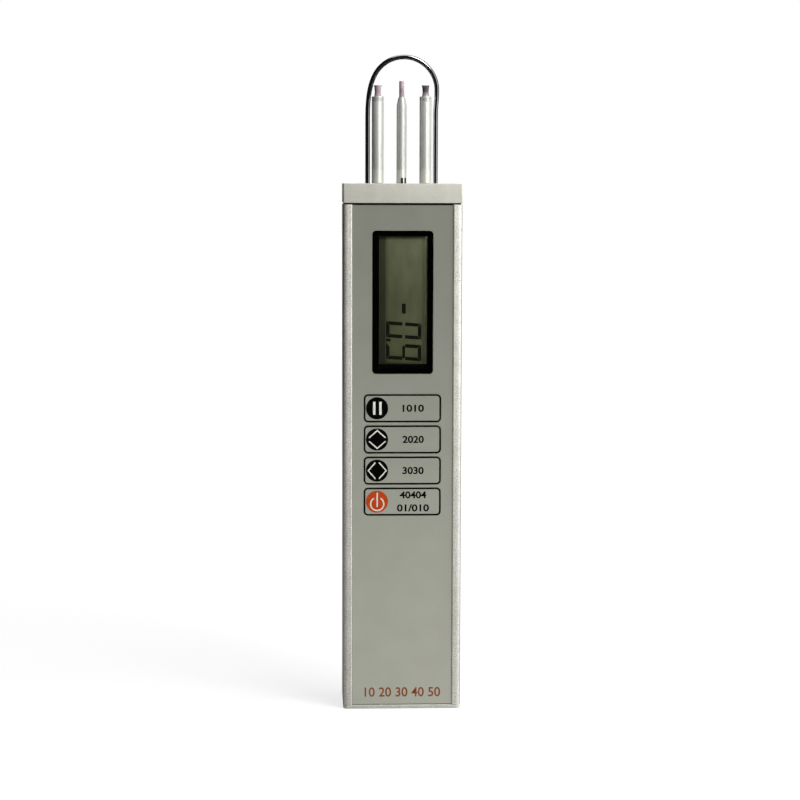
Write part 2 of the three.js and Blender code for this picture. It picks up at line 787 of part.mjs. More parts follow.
// The twin lead climbs from the snap and turns forward to the back of the board
function addBatteryLead(snapY) {
  const startZ = snapTopZ + fitGap;
  const endZ = boardBottomZ + leadLanding;
  const endY = boardBackY + fitGap;
  const x = leadExitOffset;
  const points = [
    new THREE.Vector3(x, snapY, startZ),
    new THREE.Vector3(x, snapY, startZ + leadLanding / 2),
    new THREE.Vector3(x, snapY, endZ - leadLanding),
    new THREE.Vector3(x, (snapY + endY) / 2, endZ - leadCoreRadius),
    new THREE.Vector3(x, endY + leadCoreRadius, endZ),
    new THREE.Vector3(x, endY, endZ),
  ];
  const nip = Math.acos(leadWebShare);
  const offset = leadCoreRadius * Math.sin(nip);
  const cores = [];
  for (const half of [0, 1]) {
    for (let i = 0; i < smallSides; i += 1) {
      const turn = Math.PI * half - nip + ((Math.PI + 2 * nip) * i) / smallSides;
      const lift = half === 0 ? offset : -offset;
      cores.push(new THREE.Vector2(leadCoreRadius * Math.cos(turn), lift + leadCoreRadius * Math.sin(turn)));
    }
  }
  addPiece('battery_lead', drawnAlong(points, new THREE.Shape(cores), waistSteps), 'leadJacket');
}

function nut(x, y, topZ) {
  const body = post(x, y, nutRadius, [topZ - nutHeight, topZ], nutSides);
  return cut(body, post(x, y, shankRadius + fitGap, [topZ - nutHeight - overrun, topZ + overrun]));
}

function guidePost(x) {
  const bottom = spigotBottomZ - nutHeight - shankBelowNut - headTopZ;
  const shoulder = fitGap;
  const tip = postRadius - postTipStep;
  const profile = [
    [0, bottom],
    [shankRadius, bottom],
    [shankRadius, shoulder],
    [postRadius, shoulder],
    [postRadius, postHeight - postTipLength],
    [tip, postHeight - postTipLength + postTipStep],
    [tip, postHeight - postBevel],
    [tip - postBevel, postHeight],
    [guidePegRadius + pressGap, postHeight],
    [guidePegRadius + pressGap, postHeight - pegBoreDepth],
    [0, postHeight - pegBoreDepth],
  ];
  return turned(profile, x, guideY, headTopZ);
}

// A ceramic tip with a waist that keeps the yarn in place
function ceramicGuide(x) {
  const profile = [[0, -guidePegLength], [guidePegRadius, -guidePegLength], [guidePegRadius, fitGap]];
  for (let i = 0; i <= waistSteps; i += 1) {
    const share = i / waistSteps;
    const above = share > guideWaistShare;
    const edge = above ? guideTopRadius : guideBaseRadius;
    const away = above ? (share - guideWaistShare) / (1 - guideWaistShare) : 1 - share / guideWaistShare;
    const radius = guideWaistRadius + (edge - guideWaistRadius) * away ** 2;
    profile.push([radius, fitGap + share * (guideHeight - fitGap)]);
  }
  profile.push([0, guideHeight]);
  return turned(profile, x, guideY, headTopZ + postHeight, midSides);
}

function addGuidePost(side, name, look) {
  const x = side * postSpread;
  addPiece(`${name}_post`, guidePost(x), 'turnedAluminium');
  addPiece(`${name}_post_nut`, nut(x, guideY, spigotBottomZ - fitGap), 'steel');
  addPiece(`${name}_guide_tip`, ceramicGuide(x), look);
}

function sensingStem() {
  const bottom = holderTopZ - stemSocketDepth + fitGap - headTopZ;
  const profile = [
    [0, bottom],
    [stemRadius - stemFootBevel, bottom],
    [stemRadius, bottom + stemFootBevel],
    [stemRadius, stemHeight - stemTaper],
    [stemShoulderRadius, stemHeight - stemShoulderDrop],
    [stemTipRadius, stemHeight],
    [pinRadius + pressGap, stemHeight],
    [pinRadius + pressGap, stemHeight - pegBoreDepth],
    [0, stemHeight - pegBoreDepth],
  ];
  const half = wrenchSlotWidth / 2;
  const slots = [];
  for (let i = 0; i < wrenchSlotCount; i += 1) {
    const turn = wrenchSlotFirstTurn + i * wrenchSlotStepTurn;
    const inward = [-stemRadius - overrun, wrenchSlotDepth - stemRadius];
    const slot = block([-half, half], inward, [0, wrenchSlotHeight]);
    slots.push(slot.rotate([0, 0, THREE.MathUtils.radToDeg(turn)]).translate([0, guideY, headTopZ]));
  }
  return cut(turned(profile, 0, guideY, headTopZ), ...slots);
}

function sensingPin() {
  const profile = [
    [0, -guidePegLength],
    [pinRadius, -guidePegLength],
    [pinRadius, pinHeight - pinTipRound],
    [pinRadius - pinTipRound, pinHeight],
    [0, pinHeight],
  ];
  return turned(profile, 0, guideY, headTopZ + stemHeight, midSides);
}

// Points of the guard's centre line in X and height above the head plate, from left foot to right foot
function guardLine() {
  const points = [];
  const foot = pressGap - guardLegDepth;
  const endX = guardArchShift + guardArchRadius * Math.cos(guardArchEndTurn);
  const endRise = guardArchRise + guardArchRadius * Math.sin(guardArchEndTurn);
  const leftBend = new THREE.CubicBezierCurve(
    new THREE.Vector2(-guardLegSpread, guardLeftBendRise),
    new THREE.Vector2(-guardLegSpread, guardLeftBendRise + guardLeftHand),
    new THREE.Vector2(
      endX - guardLeftHand * Math.sin(guardArchEndTurn),
      endRise + guardLeftHand * Math.cos(guardArchEndTurn),
    ),
    new THREE.Vector2(endX, endRise),
  );
  const rightBend = new THREE.CubicBezierCurve(
    new THREE.Vector2(guardArchShift + guardArchRadius, guardArchRise),
    new THREE.Vector2(guardArchShift + guardArchRadius, guardArchRise - guardRightHand),
    new THREE.Vector2(guardLegSpread, guardRightBendRise + guardRightHand),
    new THREE.Vector2(guardLegSpread, guardRightBendRise),
  );
  points.push(new THREE.Vector2(-guardLegSpread, foot));
  points.push(new THREE.Vector2(-guardLegSpread, guardLeftBendRise / 2));
  points.push(...leftBend.getPoints(bendSteps).slice(0, -1));
  for (let i = 0; i < archSteps; i += 1) {
    const turn = guardArchEndTurn * (1 - i / archSteps);
    points.push(new THREE.Vector2(
      guardArchShift + guardArchRadius * Math.cos(turn),
      guardArchRise + guardArchRadius * Math.sin(turn),
    ));
  }
  points.push(...rightBend.getPoints(bendSteps));
  points.push(new THREE.Vector2(guardLegSpread, guardRightBendRise / 2));
  points.push(new THREE.Vector2(guardLegSpread, foot));
  return points;
}

// The guard is a ring of corners at each point of its centre line, closed at both feet
function guardWire() {
  const line = guardLine();
  const positions = [];
  line.forEach((point, i) => {
    const before = line[Math.max(i - 1, 0)];
    const after = line[Math.min(i + 1, line.length - 1)];
    const along = after.clone().sub(before).normalize();
    for (let k = 0; k < wireSides; k += 1) {
      const turn = (2 * Math.PI * k) / wireSides;
      const inPlane = wireRadius * Math.cos(turn);
      positions.push(
        point.x - along.y * inPlane,
        guideY + wireRadius * Math.sin(turn),
        headTopZ + point.y + along.x * inPlane,
      );
    }
  });
  const corners = [];
  const last = (line.length - 1) * wireSides;
  for (let i = 0; i < line.length - 1; i += 1) {
    for (let k = 0; k < wireSides; k += 1) {
      const a = i * wireSides + k;
      const b = i * wireSides + ((k + 1) % wireSides);
      corners.push(a, a + wireSides, b, b, a + wireSides, b + wireSides);
    }
  }
  for (let k = 1; k < wireSides - 1; k += 1) {
    corners.push(0, k, k + 1);
    corners.push(last, last + k + 1, last + k);
  }
  const geometry = new THREE.BufferGeometry();
  geometry.setAttribute('position', new THREE.Float32BufferAttribute(positions, 3));
  geometry.setIndex(corners);
  return toSolid(geometry);
}

// A socket-head screw that lies along the depth, its head at the front
function depthScrew(x, z, headY, length) {
  const shankSpan = [headY + mediumHeadHeight / 2, headY + mediumHeadHeight + length];
  return cut(
    join(
      depthPeg(x, z, mediumHeadRadius, [headY, headY + mediumHeadHeight]),
      depthPeg(x, z, mediumScrewRadius, shankSpan, smallSides),
    ),
    depthPeg(x, z, mediumSocketRadius, [headY - overrun, headY + mediumHeadHeight / 2], nutSides),
  );
}

function sensorBracket() {
  const half = bracketWidth / 2;
  const top = spigotBottomZ - fitGap;
  const bottom = beamBottomZ;
  const wall = block([-half, half], [bracketFrontY, bracketBackY], [bottom, top]);
  const pad = block(
    [-beamWidth / 2, beamWidth / 2],
    [bracketFrontY - padThickness, bracketFrontY + fitGap],
    [bottom, bottom + padLength],
  );
  const flange = block(
    [-flangeWidth / 2, flangeWidth / 2],
    [flangeFrontY, bracketBackY],
    [top - flangeThickness, top],
  );
  const flangeHoles = [-1, 1].map((side) => post(
    side * flangeScrewSpread,
    flangeScrewY,
    mediumScrewRadius + fitGap,
    [top - flangeThickness - overrun, top + overrun],
    smallSides,
  ));
  const beamHoles = beamScrewHeights().map((z) => (
    depthPeg(0, z, mediumScrewRadius + threadGap, [beamFrontY, bracketBackY + overrun], smallSides)
  ));
  return cut(join(wall, pad, flange), ...flangeHoles, ...beamHoles);
}

function beamScrewHeights() {
  return [0, 1].map((i) => beamBottomZ + beamScrewInset + i * beamScrewPitch);
}

function holderScrewZ() {
  return holderBottomZ + holderFoot + mediumHeadRadius;
}

// A bending beam with two joined cross holes, so that its thin walls flex
function loadBeam() {
  const half = beamWidth / 2;
  const across = [-half - overrun, half + overrun];
  const middleY = (beamFrontY + beamBackY) / 2;
  const holes = [-1, 1].map((side) => (
    widthPeg(middleY, beamBendZ + side * (beamHolePitch / 2), beamHoleRadius, across)
  ));
  const slot = block(
    across,
    [middleY - beamSlotHeight / 2, middleY + beamSlotHeight / 2],
    [beamBendZ - beamHolePitch / 2, beamBendZ + beamHolePitch / 2],
  );
  const through = [beamFrontY - overrun, beamBackY + overrun];
  const screwHoles = [...beamScrewHeights(), holderScrewZ()].map((z) => (
    depthPeg(0, z, mediumScrewRadius + threadGap, through, smallSides)
  ));
  const body = block([-half, half], [beamFrontY, beamBackY], [beamBottomZ, beamTopZ]);
  return cut(body, ...holes, slot, ...screwHoles);
}

function stemHolder() {
  const half = holderWidth / 2;
  const frontSideY = guideY - holderFrontDepth;
  const backSideY = guideY + holderBackDepth;
  const body = block([-half, half], [frontSideY, backSideY], [holderBottomZ, holderTopZ]);
  const socketSpan = [holderTopZ - stemSocketDepth, holderTopZ + overrun];
  const socket = post(0, guideY, stemRadius + pressGap, socketSpan, wideSides);
  const screwZ = holderScrewZ();
  const headSeat = depthPeg(
    0,
    screwZ,
    mediumHeadRadius + fitGap,
    [frontSideY - overrun, frontSideY + headRecess + mediumHeadHeight + fitGap],
  );
  const holeSpan = [frontSideY, backSideY + overrun];
  const screwHole = depthPeg(0, screwZ, mediumScrewRadius + fitGap, holeSpan, smallSides);
  const grubZ = holderTopZ - grubDrop;
  const grubHole = widthPeg(guideY, grubZ, grubRadius + threadGap, [0, half + overrun], smallSides);
  return cut(body, socket, headSeat, screwHole, grubHole);
}

function grubScrew() {
  const start = stemRadius + pressGap;
  const end = holderWidth / 2 - fitGap;
  const z = holderTopZ - grubDrop;
  const body = widthPeg(guideY, z, grubRadius, [start, end], smallSides);
  return cut(body, widthPeg(guideY, z, grubRadius / 2, [(start + end) / 2, end + overrun], nutSides));
}

function addSensor() {
  addPiece('sensor_bracket', sensorBracket(), 'satinAluminium');
  addPiece('load_beam', loadBeam(), 'satinAluminium');
  const gaugeHalf = gaugeWidth / 2;
  const gaugeZ = [beamBendZ - gaugeLength / 2, beamBendZ + gaugeLength / 2];
  const gaugeX = [-gaugeHalf, gaugeHalf];
  const frontGaugeY = beamFrontY - fitGap - gaugeThickness;
  const backGaugeY = beamBackY + fitGap;
  addPiece('strain_gauge_front', block(gaugeX, [frontGaugeY, frontGaugeY + gaugeThickness], gaugeZ), 'foil');
  addPiece('strain_gauge_back', block(gaugeX, [backGaugeY, backGaugeY + gaugeThickness], gaugeZ), 'foil');
  const headY = beamFrontY - fitGap - mediumHeadHeight;
  const reach = bracketBackY - fitGap - beamFrontY;
  beamScrewHeights().forEach((z, i) => {
    addPiece(`beam_screw_${i === 0 ? 'lower' : 'upper'}`, depthScrew(0, z, headY, reach), 'blackSteel');
  });
  addPiece('bracket_screw_left', flangeScrew(-flangeScrewSpread), 'blackSteel');
  addPiece('bracket_screw_right', flangeScrew(flangeScrewSpread), 'blackSteel');
  addPiece('stem_holder', stemHolder(), 'turnedAluminium');
  const holderFrontY = guideY - holderFrontDepth + headRecess;
  const holderScrewReach = beamBackY - fitGap - holderFrontY - mediumHeadHeight;
  addPiece('holder_screw', depthScrew(0, holderScrewZ(), holderFrontY, holderScrewReach), 'blackSteel');
  addPiece('stem_grub_screw', grubScrew(), 'blackSteel');
}

function flangeScrew(x) {
  const headTop = spigotBottomZ - fitGap - flangeThickness - fitGap;
  const tip = spigotBottomZ + flangeScrewLength - pressGap;
  return cut(
    join(
      post(x, flangeScrewY, mediumHeadRadius, [headTop - mediumHeadHeight, headTop]),
      post(x, flangeScrewY, mediumScrewRadius, [headTop - mediumHeadHeight / 2, tip], smallSides),
    ),
    post(
      x,
      flangeScrewY,
      mediumSocketRadius,
      [headTop - mediumHeadHeight - overrun, headTop - mediumHeadHeight / 2],
      nutSides,
    ),
  );
}

// The gauge lead runs forward from the front gauge to the back of the board
function addSensorLead() {
  const x = sensorLeadOffset;
  const startY = beamFrontY - fitGap;
  const endY = boardBackY + fitGap;
  const middleY = (startY + endY) / 2;
  const points = [
    new THREE.Vector3(x, startY, beamBendZ),
    new THREE.Vector3(x, startY - sensorLeadRadius, beamBendZ),
    new THREE.Vector3(x, middleY, beamBendZ - beamHoleRadius),
    new THREE.Vector3(x, middleY, beamBendZ - beamHolePitch),
    new THREE.Vector3(x, endY + sensorLeadRadius, beamBendZ - beamHolePitch - beamHoleRadius),
    new THREE.Vector3(x, endY, beamBendZ - beamHolePitch - beamHoleRadius),
  ];
  const section = roundSection(sensorLeadRadius, smallSides);
  addPiece('sensor_lead', drawnAlong(points, section, archSteps), 'leadJacket');
}

addPiece('case_extrusion', caseExtrusion(), 'blastedAluminium');
addPiece('head_plate', headPlate(), 'blastedAluminium');
addPiece('head_seal', headSeal(), 'rubber');
addPiece(
  'bottom_plate',
  endPlate(bottomPlateCornerRadius, [0, bottomPlateThickness], 0, 1),
  'blastedAluminium',
);
for (const [place, [x, y]] of Object.entries(portPlaces)) {
  const headLength = headPlateThickness + sealThickness + caseScrewLength;
  addPiece(`head_screw_${place}`, countersunkScrew(x, y, headTopZ - headRecess, -1, headLength), 'steel');
  addPiece(`base_screw_${place}`, countersunkScrew(x, y, headRecess, 1, caseScrewLength), 'steel');
}
addPiece('front_panel', frontPanel(), 'satinAluminium');
addPiece('panel_film', panelFilm(), 'film');
addDisplay();
for (let i = 0; i < keyCount; i += 1) addKey(i);
addBoard();
addBattery();
addGuidePost(-1, 'left', 'pinkCeramic');
addGuidePost(1, 'right', 'darkCeramic');
addPiece('guard_wire', guardWire(), 'chrome');
addPiece('sensing_stem', sensingStem(), 'turnedAluminium');
addPiece('sensing_pin', sensingPin(), 'pinkCeramic');
addSensor();
addSensorLead();

export default meter;
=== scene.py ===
"""The finished look of a hand-held digital tension meter: surfaces, prints, edges, studio and camera."""
import json
from math import cos, pi, radians, sin, tan

import bmesh
import bpy
from mathutils import Matrix, Vector
from mathutils.geometry import tessellate_polygon


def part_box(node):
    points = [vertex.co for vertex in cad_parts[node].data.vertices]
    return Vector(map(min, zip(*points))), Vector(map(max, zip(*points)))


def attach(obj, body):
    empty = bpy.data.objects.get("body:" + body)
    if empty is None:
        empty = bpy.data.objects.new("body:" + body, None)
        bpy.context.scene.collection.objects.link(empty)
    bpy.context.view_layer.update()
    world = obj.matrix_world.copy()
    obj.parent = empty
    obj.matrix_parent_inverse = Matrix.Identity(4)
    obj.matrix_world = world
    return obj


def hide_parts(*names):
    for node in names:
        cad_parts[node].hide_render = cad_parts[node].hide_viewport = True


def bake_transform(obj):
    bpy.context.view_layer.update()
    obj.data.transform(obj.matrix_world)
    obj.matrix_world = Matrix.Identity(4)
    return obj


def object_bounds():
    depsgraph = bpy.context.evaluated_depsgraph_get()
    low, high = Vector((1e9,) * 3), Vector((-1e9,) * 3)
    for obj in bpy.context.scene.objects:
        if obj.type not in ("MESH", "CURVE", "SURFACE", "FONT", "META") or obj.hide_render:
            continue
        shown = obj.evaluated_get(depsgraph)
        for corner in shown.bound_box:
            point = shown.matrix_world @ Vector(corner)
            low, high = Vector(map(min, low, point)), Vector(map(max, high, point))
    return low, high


MM = 0.001

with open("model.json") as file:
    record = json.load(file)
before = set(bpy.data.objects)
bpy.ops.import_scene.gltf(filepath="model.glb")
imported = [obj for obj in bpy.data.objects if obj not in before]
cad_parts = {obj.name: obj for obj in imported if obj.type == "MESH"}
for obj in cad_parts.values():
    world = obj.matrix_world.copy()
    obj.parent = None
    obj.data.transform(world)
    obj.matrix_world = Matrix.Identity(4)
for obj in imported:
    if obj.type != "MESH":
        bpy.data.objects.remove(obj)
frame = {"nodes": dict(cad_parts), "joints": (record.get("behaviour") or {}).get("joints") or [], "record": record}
cad_low, cad_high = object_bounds()

# How finely round shapes are divided
CORNER_STEPS = 8
RIM_STEPS = 4
DISC_SIDES = 40
TURNED_SIDES = 64
EASE_STEPS = 4
SHARP_ANGLE = radians(38)

# Limits: a mitre's sharpness, a rounding's share of an edge, a rounded corner's least distance from
# its axis, and how close two points count as one
SHARPEST_MITRE = 0.2
EASE_SHARE = 1 / 2.2
OFF_AXIS = 1e-9
WELD_DISTANCE = 0.001 * MM

# The noise of the surfaces: its roughness, the middle range that most of its values lie in, and how
# deep grain and rings are as a share of their size
NOISE_ROUGHNESS = 0.55
NOISE_LOW = 0.3
NOISE_HIGH = 0.7
GRAIN_DEPTH = 1 / 6
RING_DEPTH = 1 / 12
WHITE = (255, 255, 255)

# Case section, with corners a little tighter than the solid's, and where the painted shade on its sides begins
CASE_CORNER = 1.4 * MM
RAIL_WIDTH = 2.6 * MM
RAIL_THICKNESS = 0.8 * MM
RAIL_BEVEL = 0.25 * MM
CASE_WALL = 1.8 * MM
PORT_RADIUS = 1.85 * MM
PORT_BORE = 1.01 * MM
SIDE_SHADE_START = 17.22 * MM
SIDE_SHADE_END = 17.28 * MM

# End plates and their screws
HEAD_CORNER = 0.4 * MM
SPIGOT_CORNER = 1.1 * MM
PLATE_RIM = 0.18 * MM
BORE_RIM = 0.05 * MM
POST_BORE = 1.3 * MM
SPIGOT_SIDE_GAP = 4.3 * MM
SPIGOT_FRONT_GAP = 2.2 * MM
SPIGOT_BACK_GAP = 1.95 * MM
STEM_BORE = 2.3 * MM
SEAT_GAP = 0.05 * MM
SEAL_GAP = 0.05 * MM
CROSS_WIDTH = 0.45 * MM
CROSS_SPAN = 2.0 * MM
CROSS_DEPTH = 0.5 * MM
HEAD_RECESS = 0.08 * MM
SHANK_RADIUS = 0.89 * MM
SHANK_GAP = 0.11 * MM
SCREW_RIM = 0.07 * MM

# Film, keys and their print. A label's row is its text, its width and its lift.
KEY_COUNT = 4
PRINT_PROUD = 0.015 * MM
PRINT_SUNK = 0.01 * MM
FILM_RIM = 0.04 * MM
KEY_SLIT = 0.1 * MM
KEY_CORNER = 1.25 * MM
KEY_LINE_EDGE = 0.01 * MM
KEY_LINE_WIDTH = 0.44 * MM
DISC_RADIUS = 3.29 * MM
DISC_X = -7.5 * MM
SYMBOL_LINE = 0.37 * MM
SYMBOL_X = 0.08 * MM
CHEVRON_APEX = 2.66 * MM
CHEVRON_END = 0.53 * MM
CHEVRON_REACH = 2.42 * MM
BAR_HEIGHT = 3.9 * MM
BAR_WIDTH = 0.72 * MM
BAR_GAP = 1.1 * MM
POWER_RADIUS = 1.95 * MM
POWER_DROP = 0.7 * MM
POWER_OPENING = radians(30)
POWER_LINE = 0.42 * MM
POWER_BAR_TOP = 2.7 * MM
POWER_BAR_FOOT = -1.56 * MM
LABEL_HEIGHT = 2.15 * MM
LABEL_WEIGHT = 0.028
LABEL_X = 3.2 * MM
LABELS = (
    (("1010", 6.3 * MM, 0.0),),
    (("2020", 6.3 * MM, 0.0),),
    (("3030", 6.3 * MM, 0.0),),
    (("40404", 7.9 * MM, 2.0 * MM), ("01/010", 9.5 * MM, -1.9 * MM)),
)
FOOT_NUMBERS = "10 20 30 40 50"
FOOT_NUMBERS_WIDTH = 22.6 * MM
FOOT_NUMBERS_HEIGHT = 2.85 * MM
FOOT_NUMBERS_WEIGHT = 0.012
FOOT_NUMBERS_X = 0.2 * MM
FOOT_NUMBERS_Z = 4.95 * MM

# Display: the window's dark border, the clear pane, the sheet on the cell with the band of painted shade below it,
# and the figures
WINDOW_CORNER = 1.1 * MM
WINDOW_RIM = 0.08 * MM
WINDOW_SEAM = 0.06 * MM
VIEW_WIDTH = 14.2 * MM
VIEW_HEIGHT = 38.9 * MM
VIEW_CORNER = 0.35 * MM
VIEW_SHIFT = 0.14 * MM
BORDER_THICKNESS = 0.12 * MM
CELL_RIM = 0.1 * MM
SHEET_PROUD = 0.04 * MM
SHEET_LEFT = -5.1 * MM
SHEET_RIGHT = 5.7 * MM
CELL_MARGIN = 2.0 * MM
SHEET_LOW = 103.65 * MM
SHEET_HIGH = 140.6 * MM
SHADE_BAND_LOW = 100.5 * MM
SHADE_BAND_HIGH = 103.2 * MM
FIGURE_PROUD = 0.03 * MM
FIGURE_FOOT_X = -4.8 * MM
FIGURE_HEIGHT = 10.4 * MM
FIGURE_WIDTH = 4.75 * MM
FIGURE_PITCH = 6.4 * MM
FIGURE_LINE = 1.0 * MM
FIGURE_GAP = 0.07 * MM
FIGURE_HALF_GAP = 0.42 * MM
FIGURE_BAR_LINE = 0.76 * MM
FIGURE_BAR_INSET = 0.4 * MM
FIGURE_LEAN = 0.07
FIRST_FIGURE_Z = 115.9 * MM
POINT_Z = 110.75 * MM
POINT_WIDTH = 0.75 * MM
POINT_HEIGHT = 1.3 * MM
DASH_HIGH = 121.05 * MM
DASH_LOW = 118.15 * MM
DASH_WIDTH = 1.15 * MM

# Guide posts, stem, pin and tips. The stem's top is pairs of a drop from its end and the radius there.
POST_EASE = 0.12 * MM
GROOVE_DEPTH = 0.05 * MM
GROOVE_WIDTH = 0.14 * MM
POST_GROOVES = (1.35 * MM, 0.85 * MM)
POST_SHOULDER = 0.05 * MM
POST_SHANK = 1.25 * MM
TIP_WAIST = 0.9 * MM
TIP_BASE = 1.08 * MM
TIP_WAIST_SHARE = 0.42
TIP_CURVE = 1.7
TIP_LIP = 0.15 * MM
TIP_LIP_HEIGHT = 0.3 * MM
TIP_RIM = 0.06 * MM
TIP_STEPS = 22
PIN_EASE = 0.16 * MM
STEM_RADIUS = 1.5 * MM
STEM_EASE = 0.06 * MM
STEM_TOP = (
    (4.6 * MM, 1.5 * MM), (3.3 * MM, 1.47 * MM), (2.1 * MM, 1.4 * MM), (1.55 * MM, 1.22 * MM),
    (0.85 * MM, 1.16 * MM), (0.3 * MM, 0.94 * MM), (0.0, 0.9 * MM),
)
SLOT_WIDTH = 0.7 * MM
SLOT_HEIGHT = 1.65 * MM
SLOT_DEPTH = 0.6 * MM
SLOT_TURNS = (radians(4), radians(47))

# Wire guard, from its left foot over the arch to its right foot
WIRE_RADIUS = 0.7 * MM
LEG_SPREAD = 10.08 * MM
ARCH_RADIUS = 9.73 * MM
ARCH_SHIFT = 0.7 * MM
ARCH_RISE = 27.52 * MM
ARCH_END = radians(150)
ARCH_PARTS = 3
LEFT_BEND_RISE = 17.0 * MM
RIGHT_BEND_RISE = 20.0 * MM
LEFT_HAND = 5.0 * MM
RIGHT_HAND = 3.3 * MM
WIRE_ROUNDNESS = 8
WIRE_FINENESS = 24

# The sensor's beam: how far its thin part reaches either way from the bend, and its cuts
BEAM_REACH = 6.8 * MM
BEAM_CUTS = 16

# Camera, fitted to the photograph, whose frame is 800 pixels wide
CAMERA_DISTANCE = 660 * MM
CAMERA_SIDE = -28 * MM
CAMERA_PITCH = radians(5.64)
CAMERA_ROLL = radians(0.146)
CAMERA_AIM = Vector((-0.75 * MM, -11.5 * MM, 92.73 * MM))
FOCAL_PIXELS = 2239.0
FRAME_PIXELS = 800
SENSOR_WIDTH = 36.0
CAMERA_CLIP = 10 * MM

# Studio. A softbox is its name, place, size and power. Only metal and glass show the cards. An upright
# card is its name, turn in degrees from the camera's side to the right, distance and width.
WORLD_LEVEL = 0.09
SOFTBOXES = (
    ("key_softbox", (0.34, -0.22, 0.5), (0.25, 0.3), 1.8),
    ("top_softbox", (0.12, -0.18, 0.3), (0.12, 0.12), 0.62),
    ("side_softbox", (0.7, -0.05, 0.2), (0.4, 0.6), 4.4),
    ("back_softbox", (0.1, 0.5, 0.3), (0.4, 0.4), 1.2),
)
LIGHT_AIM = Vector((0.0, 0.0, 0.12))
FLOOR_SIZE = 12.0
FLOOR_DROP = 0.02 * MM
FLOOR_ALBEDO = 0.3
FLOOR_GLOW = ((0.1, 0.78), (0.3, 0.82), (0.7, 1.0))
CARD_HEIGHT = 2.0
UPRIGHT_CARDS = (
    ("front_card", 5, 0.9, 1.51),
    ("left_card", -68, 0.7, 0.91),
    ("left_back_card", -133, 0.7, 0.91),
    ("right_back_card", 122, 0.7, 1.4),
)
BRIGHT_CARD_PLACE = (0.28, -0.32, 0.62)
BRIGHT_CARD_SIZE = (0.3, 0.3)
BRIGHT_CARD_LEVEL = 7.0
LOW_CARD_PLACE = (0.0, -0.1, 0.1605)
LOW_CARD_SIZE = (0.7, 0.8)

# The nodes' boxes that the pieces are drawn from
case_low, case_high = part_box("case_extrusion")
head_low, head_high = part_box("head_plate")
base_low, base_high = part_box("bottom_plate")
film_low, film_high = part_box("panel_film")
window_low, window_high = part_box("display_window")
cell_low, cell_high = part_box("display_glass")
post_low, post_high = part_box("left_post")
tip_low_z, tip_high_z = post_high.z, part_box("left_guide_tip")[1].z
plate_low_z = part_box("head_seal")[1].z + SEAL_GAP
guide_y = (post_low.y + post_high.y) / 2
post_x = -(post_low.x + post_high.x) / 2
scene = bpy.context.scene

# The surfaces by their names
materials = {}


def tone(colour):
    """A screen colour, from 0 to 255, as linear light."""
    shares = [value / 255 for value in colour]
    return *(s / 12.92 if s <= 0.04045 else ((s + 0.055) / 1.055) ** 2.4 for s in shares), 1.0


def grey(level):
    return (level, level, level, 1.0)


# Nodes of the surfaces

def new_material(name):
    materials[name] = bpy.data.materials.new(name)
    materials[name].use_nodes = True
    tree = materials[name].node_tree
    return tree, tree.nodes["Principled BSDF"]


def feed(tree, node, inputs):
    """Give a node's inputs fixed values, or join them to the outputs of other nodes."""
    for name, value in inputs.items():
        if isinstance(value, bpy.types.NodeSocket):
            tree.links.new(value, node.inputs[name])
        else:
            node.inputs[name].default_value = value


def add_node(tree, kind, inputs=None, **settings):
    node = tree.nodes.new(f"ShaderNode{kind}")
    for name, value in settings.items():
        setattr(node, name, value)
    feed(tree, node, inputs or {})
    return node


def noise(tree, size, detail=3.0, stretch=(1, 1, 1)):
    """Noise in the object's space, with patches of about the given size in metres."""
    place = add_node(tree, "TexCoord").outputs["Object"]
    scaled = add_node(tree, "Mapping", {"Vector": place, "Scale": stretch}).outputs["Vector"]
    texture = add_node(tree, "TexNoise", {
        "Vector": scaled, "Scale": 1 / size, "Detail": detail, "Roughness": NOISE_ROUGHNESS,
    })
    return texture.outputs["Fac"]


def ramp(tree, value, stops):
    """A blend of linear colours over a value, from (position, colour) pairs."""
    node = add_node(tree, "ValToRGB", {"Fac": value})
    elements = node.color_ramp.elements
    while len(elements) < len(stops):
        elements.new(0.5)
    for element, (position, colour) in zip(elements, stops):
        element.position = position
        element.color = colour
    return node.outputs["Color"]


def shades(tree, value, stops):
    """A blend like ramp's, of screen colours."""
    return ramp(tree, value, [(position, tone(colour)) for position, colour in stops])


def mottle(tree, value, dark, light):
    """A colour that follows a noise, from dark to light over the noise's middle range."""
    return shades(tree, value, [(NOISE_LOW, dark), (NOISE_HIGH, light)])


def between(tree, value, low, high, start=NOISE_LOW, end=NOISE_HIGH):
    """The value's range from start to end, mapped from low to high."""
    node = add_node(tree, "MapRange", {
        "Value": value, "From Min": start, "From Max": end, "To Min": low, "To Max": high,
    })
    return node.outputs["Result"]


def coordinate(tree, axis):
    place = add_node(tree, "TexCoord").outputs["Object"]
    return add_node(tree, "SeparateXYZ", {"Vector": place}).outputs[axis]


def along(tree, axis, low, high):
    """How far a point lies between two places along an axis, from 0 to 1."""
    return between(tree, coordinate(tree, axis), 0.0, 1.0, low, high)


def mixed(tree, first, second, kind="MULTIPLY", share=1.0):
    node = add_node(tree, "Mix", {"Factor": share, "A": first, "B": second},
                    data_type="RGBA", blend_type=kind)
    return node.outputs["Result"]


def relief(tree, height, strength, depth):
    node = add_node(tree, "Bump", {"Height": height, "Strength": strength, "Distance": depth})
    return node.outputs["Normal"]


# Surfaces, with colours as a screen shows them. Most have the name of the slot that they finish.

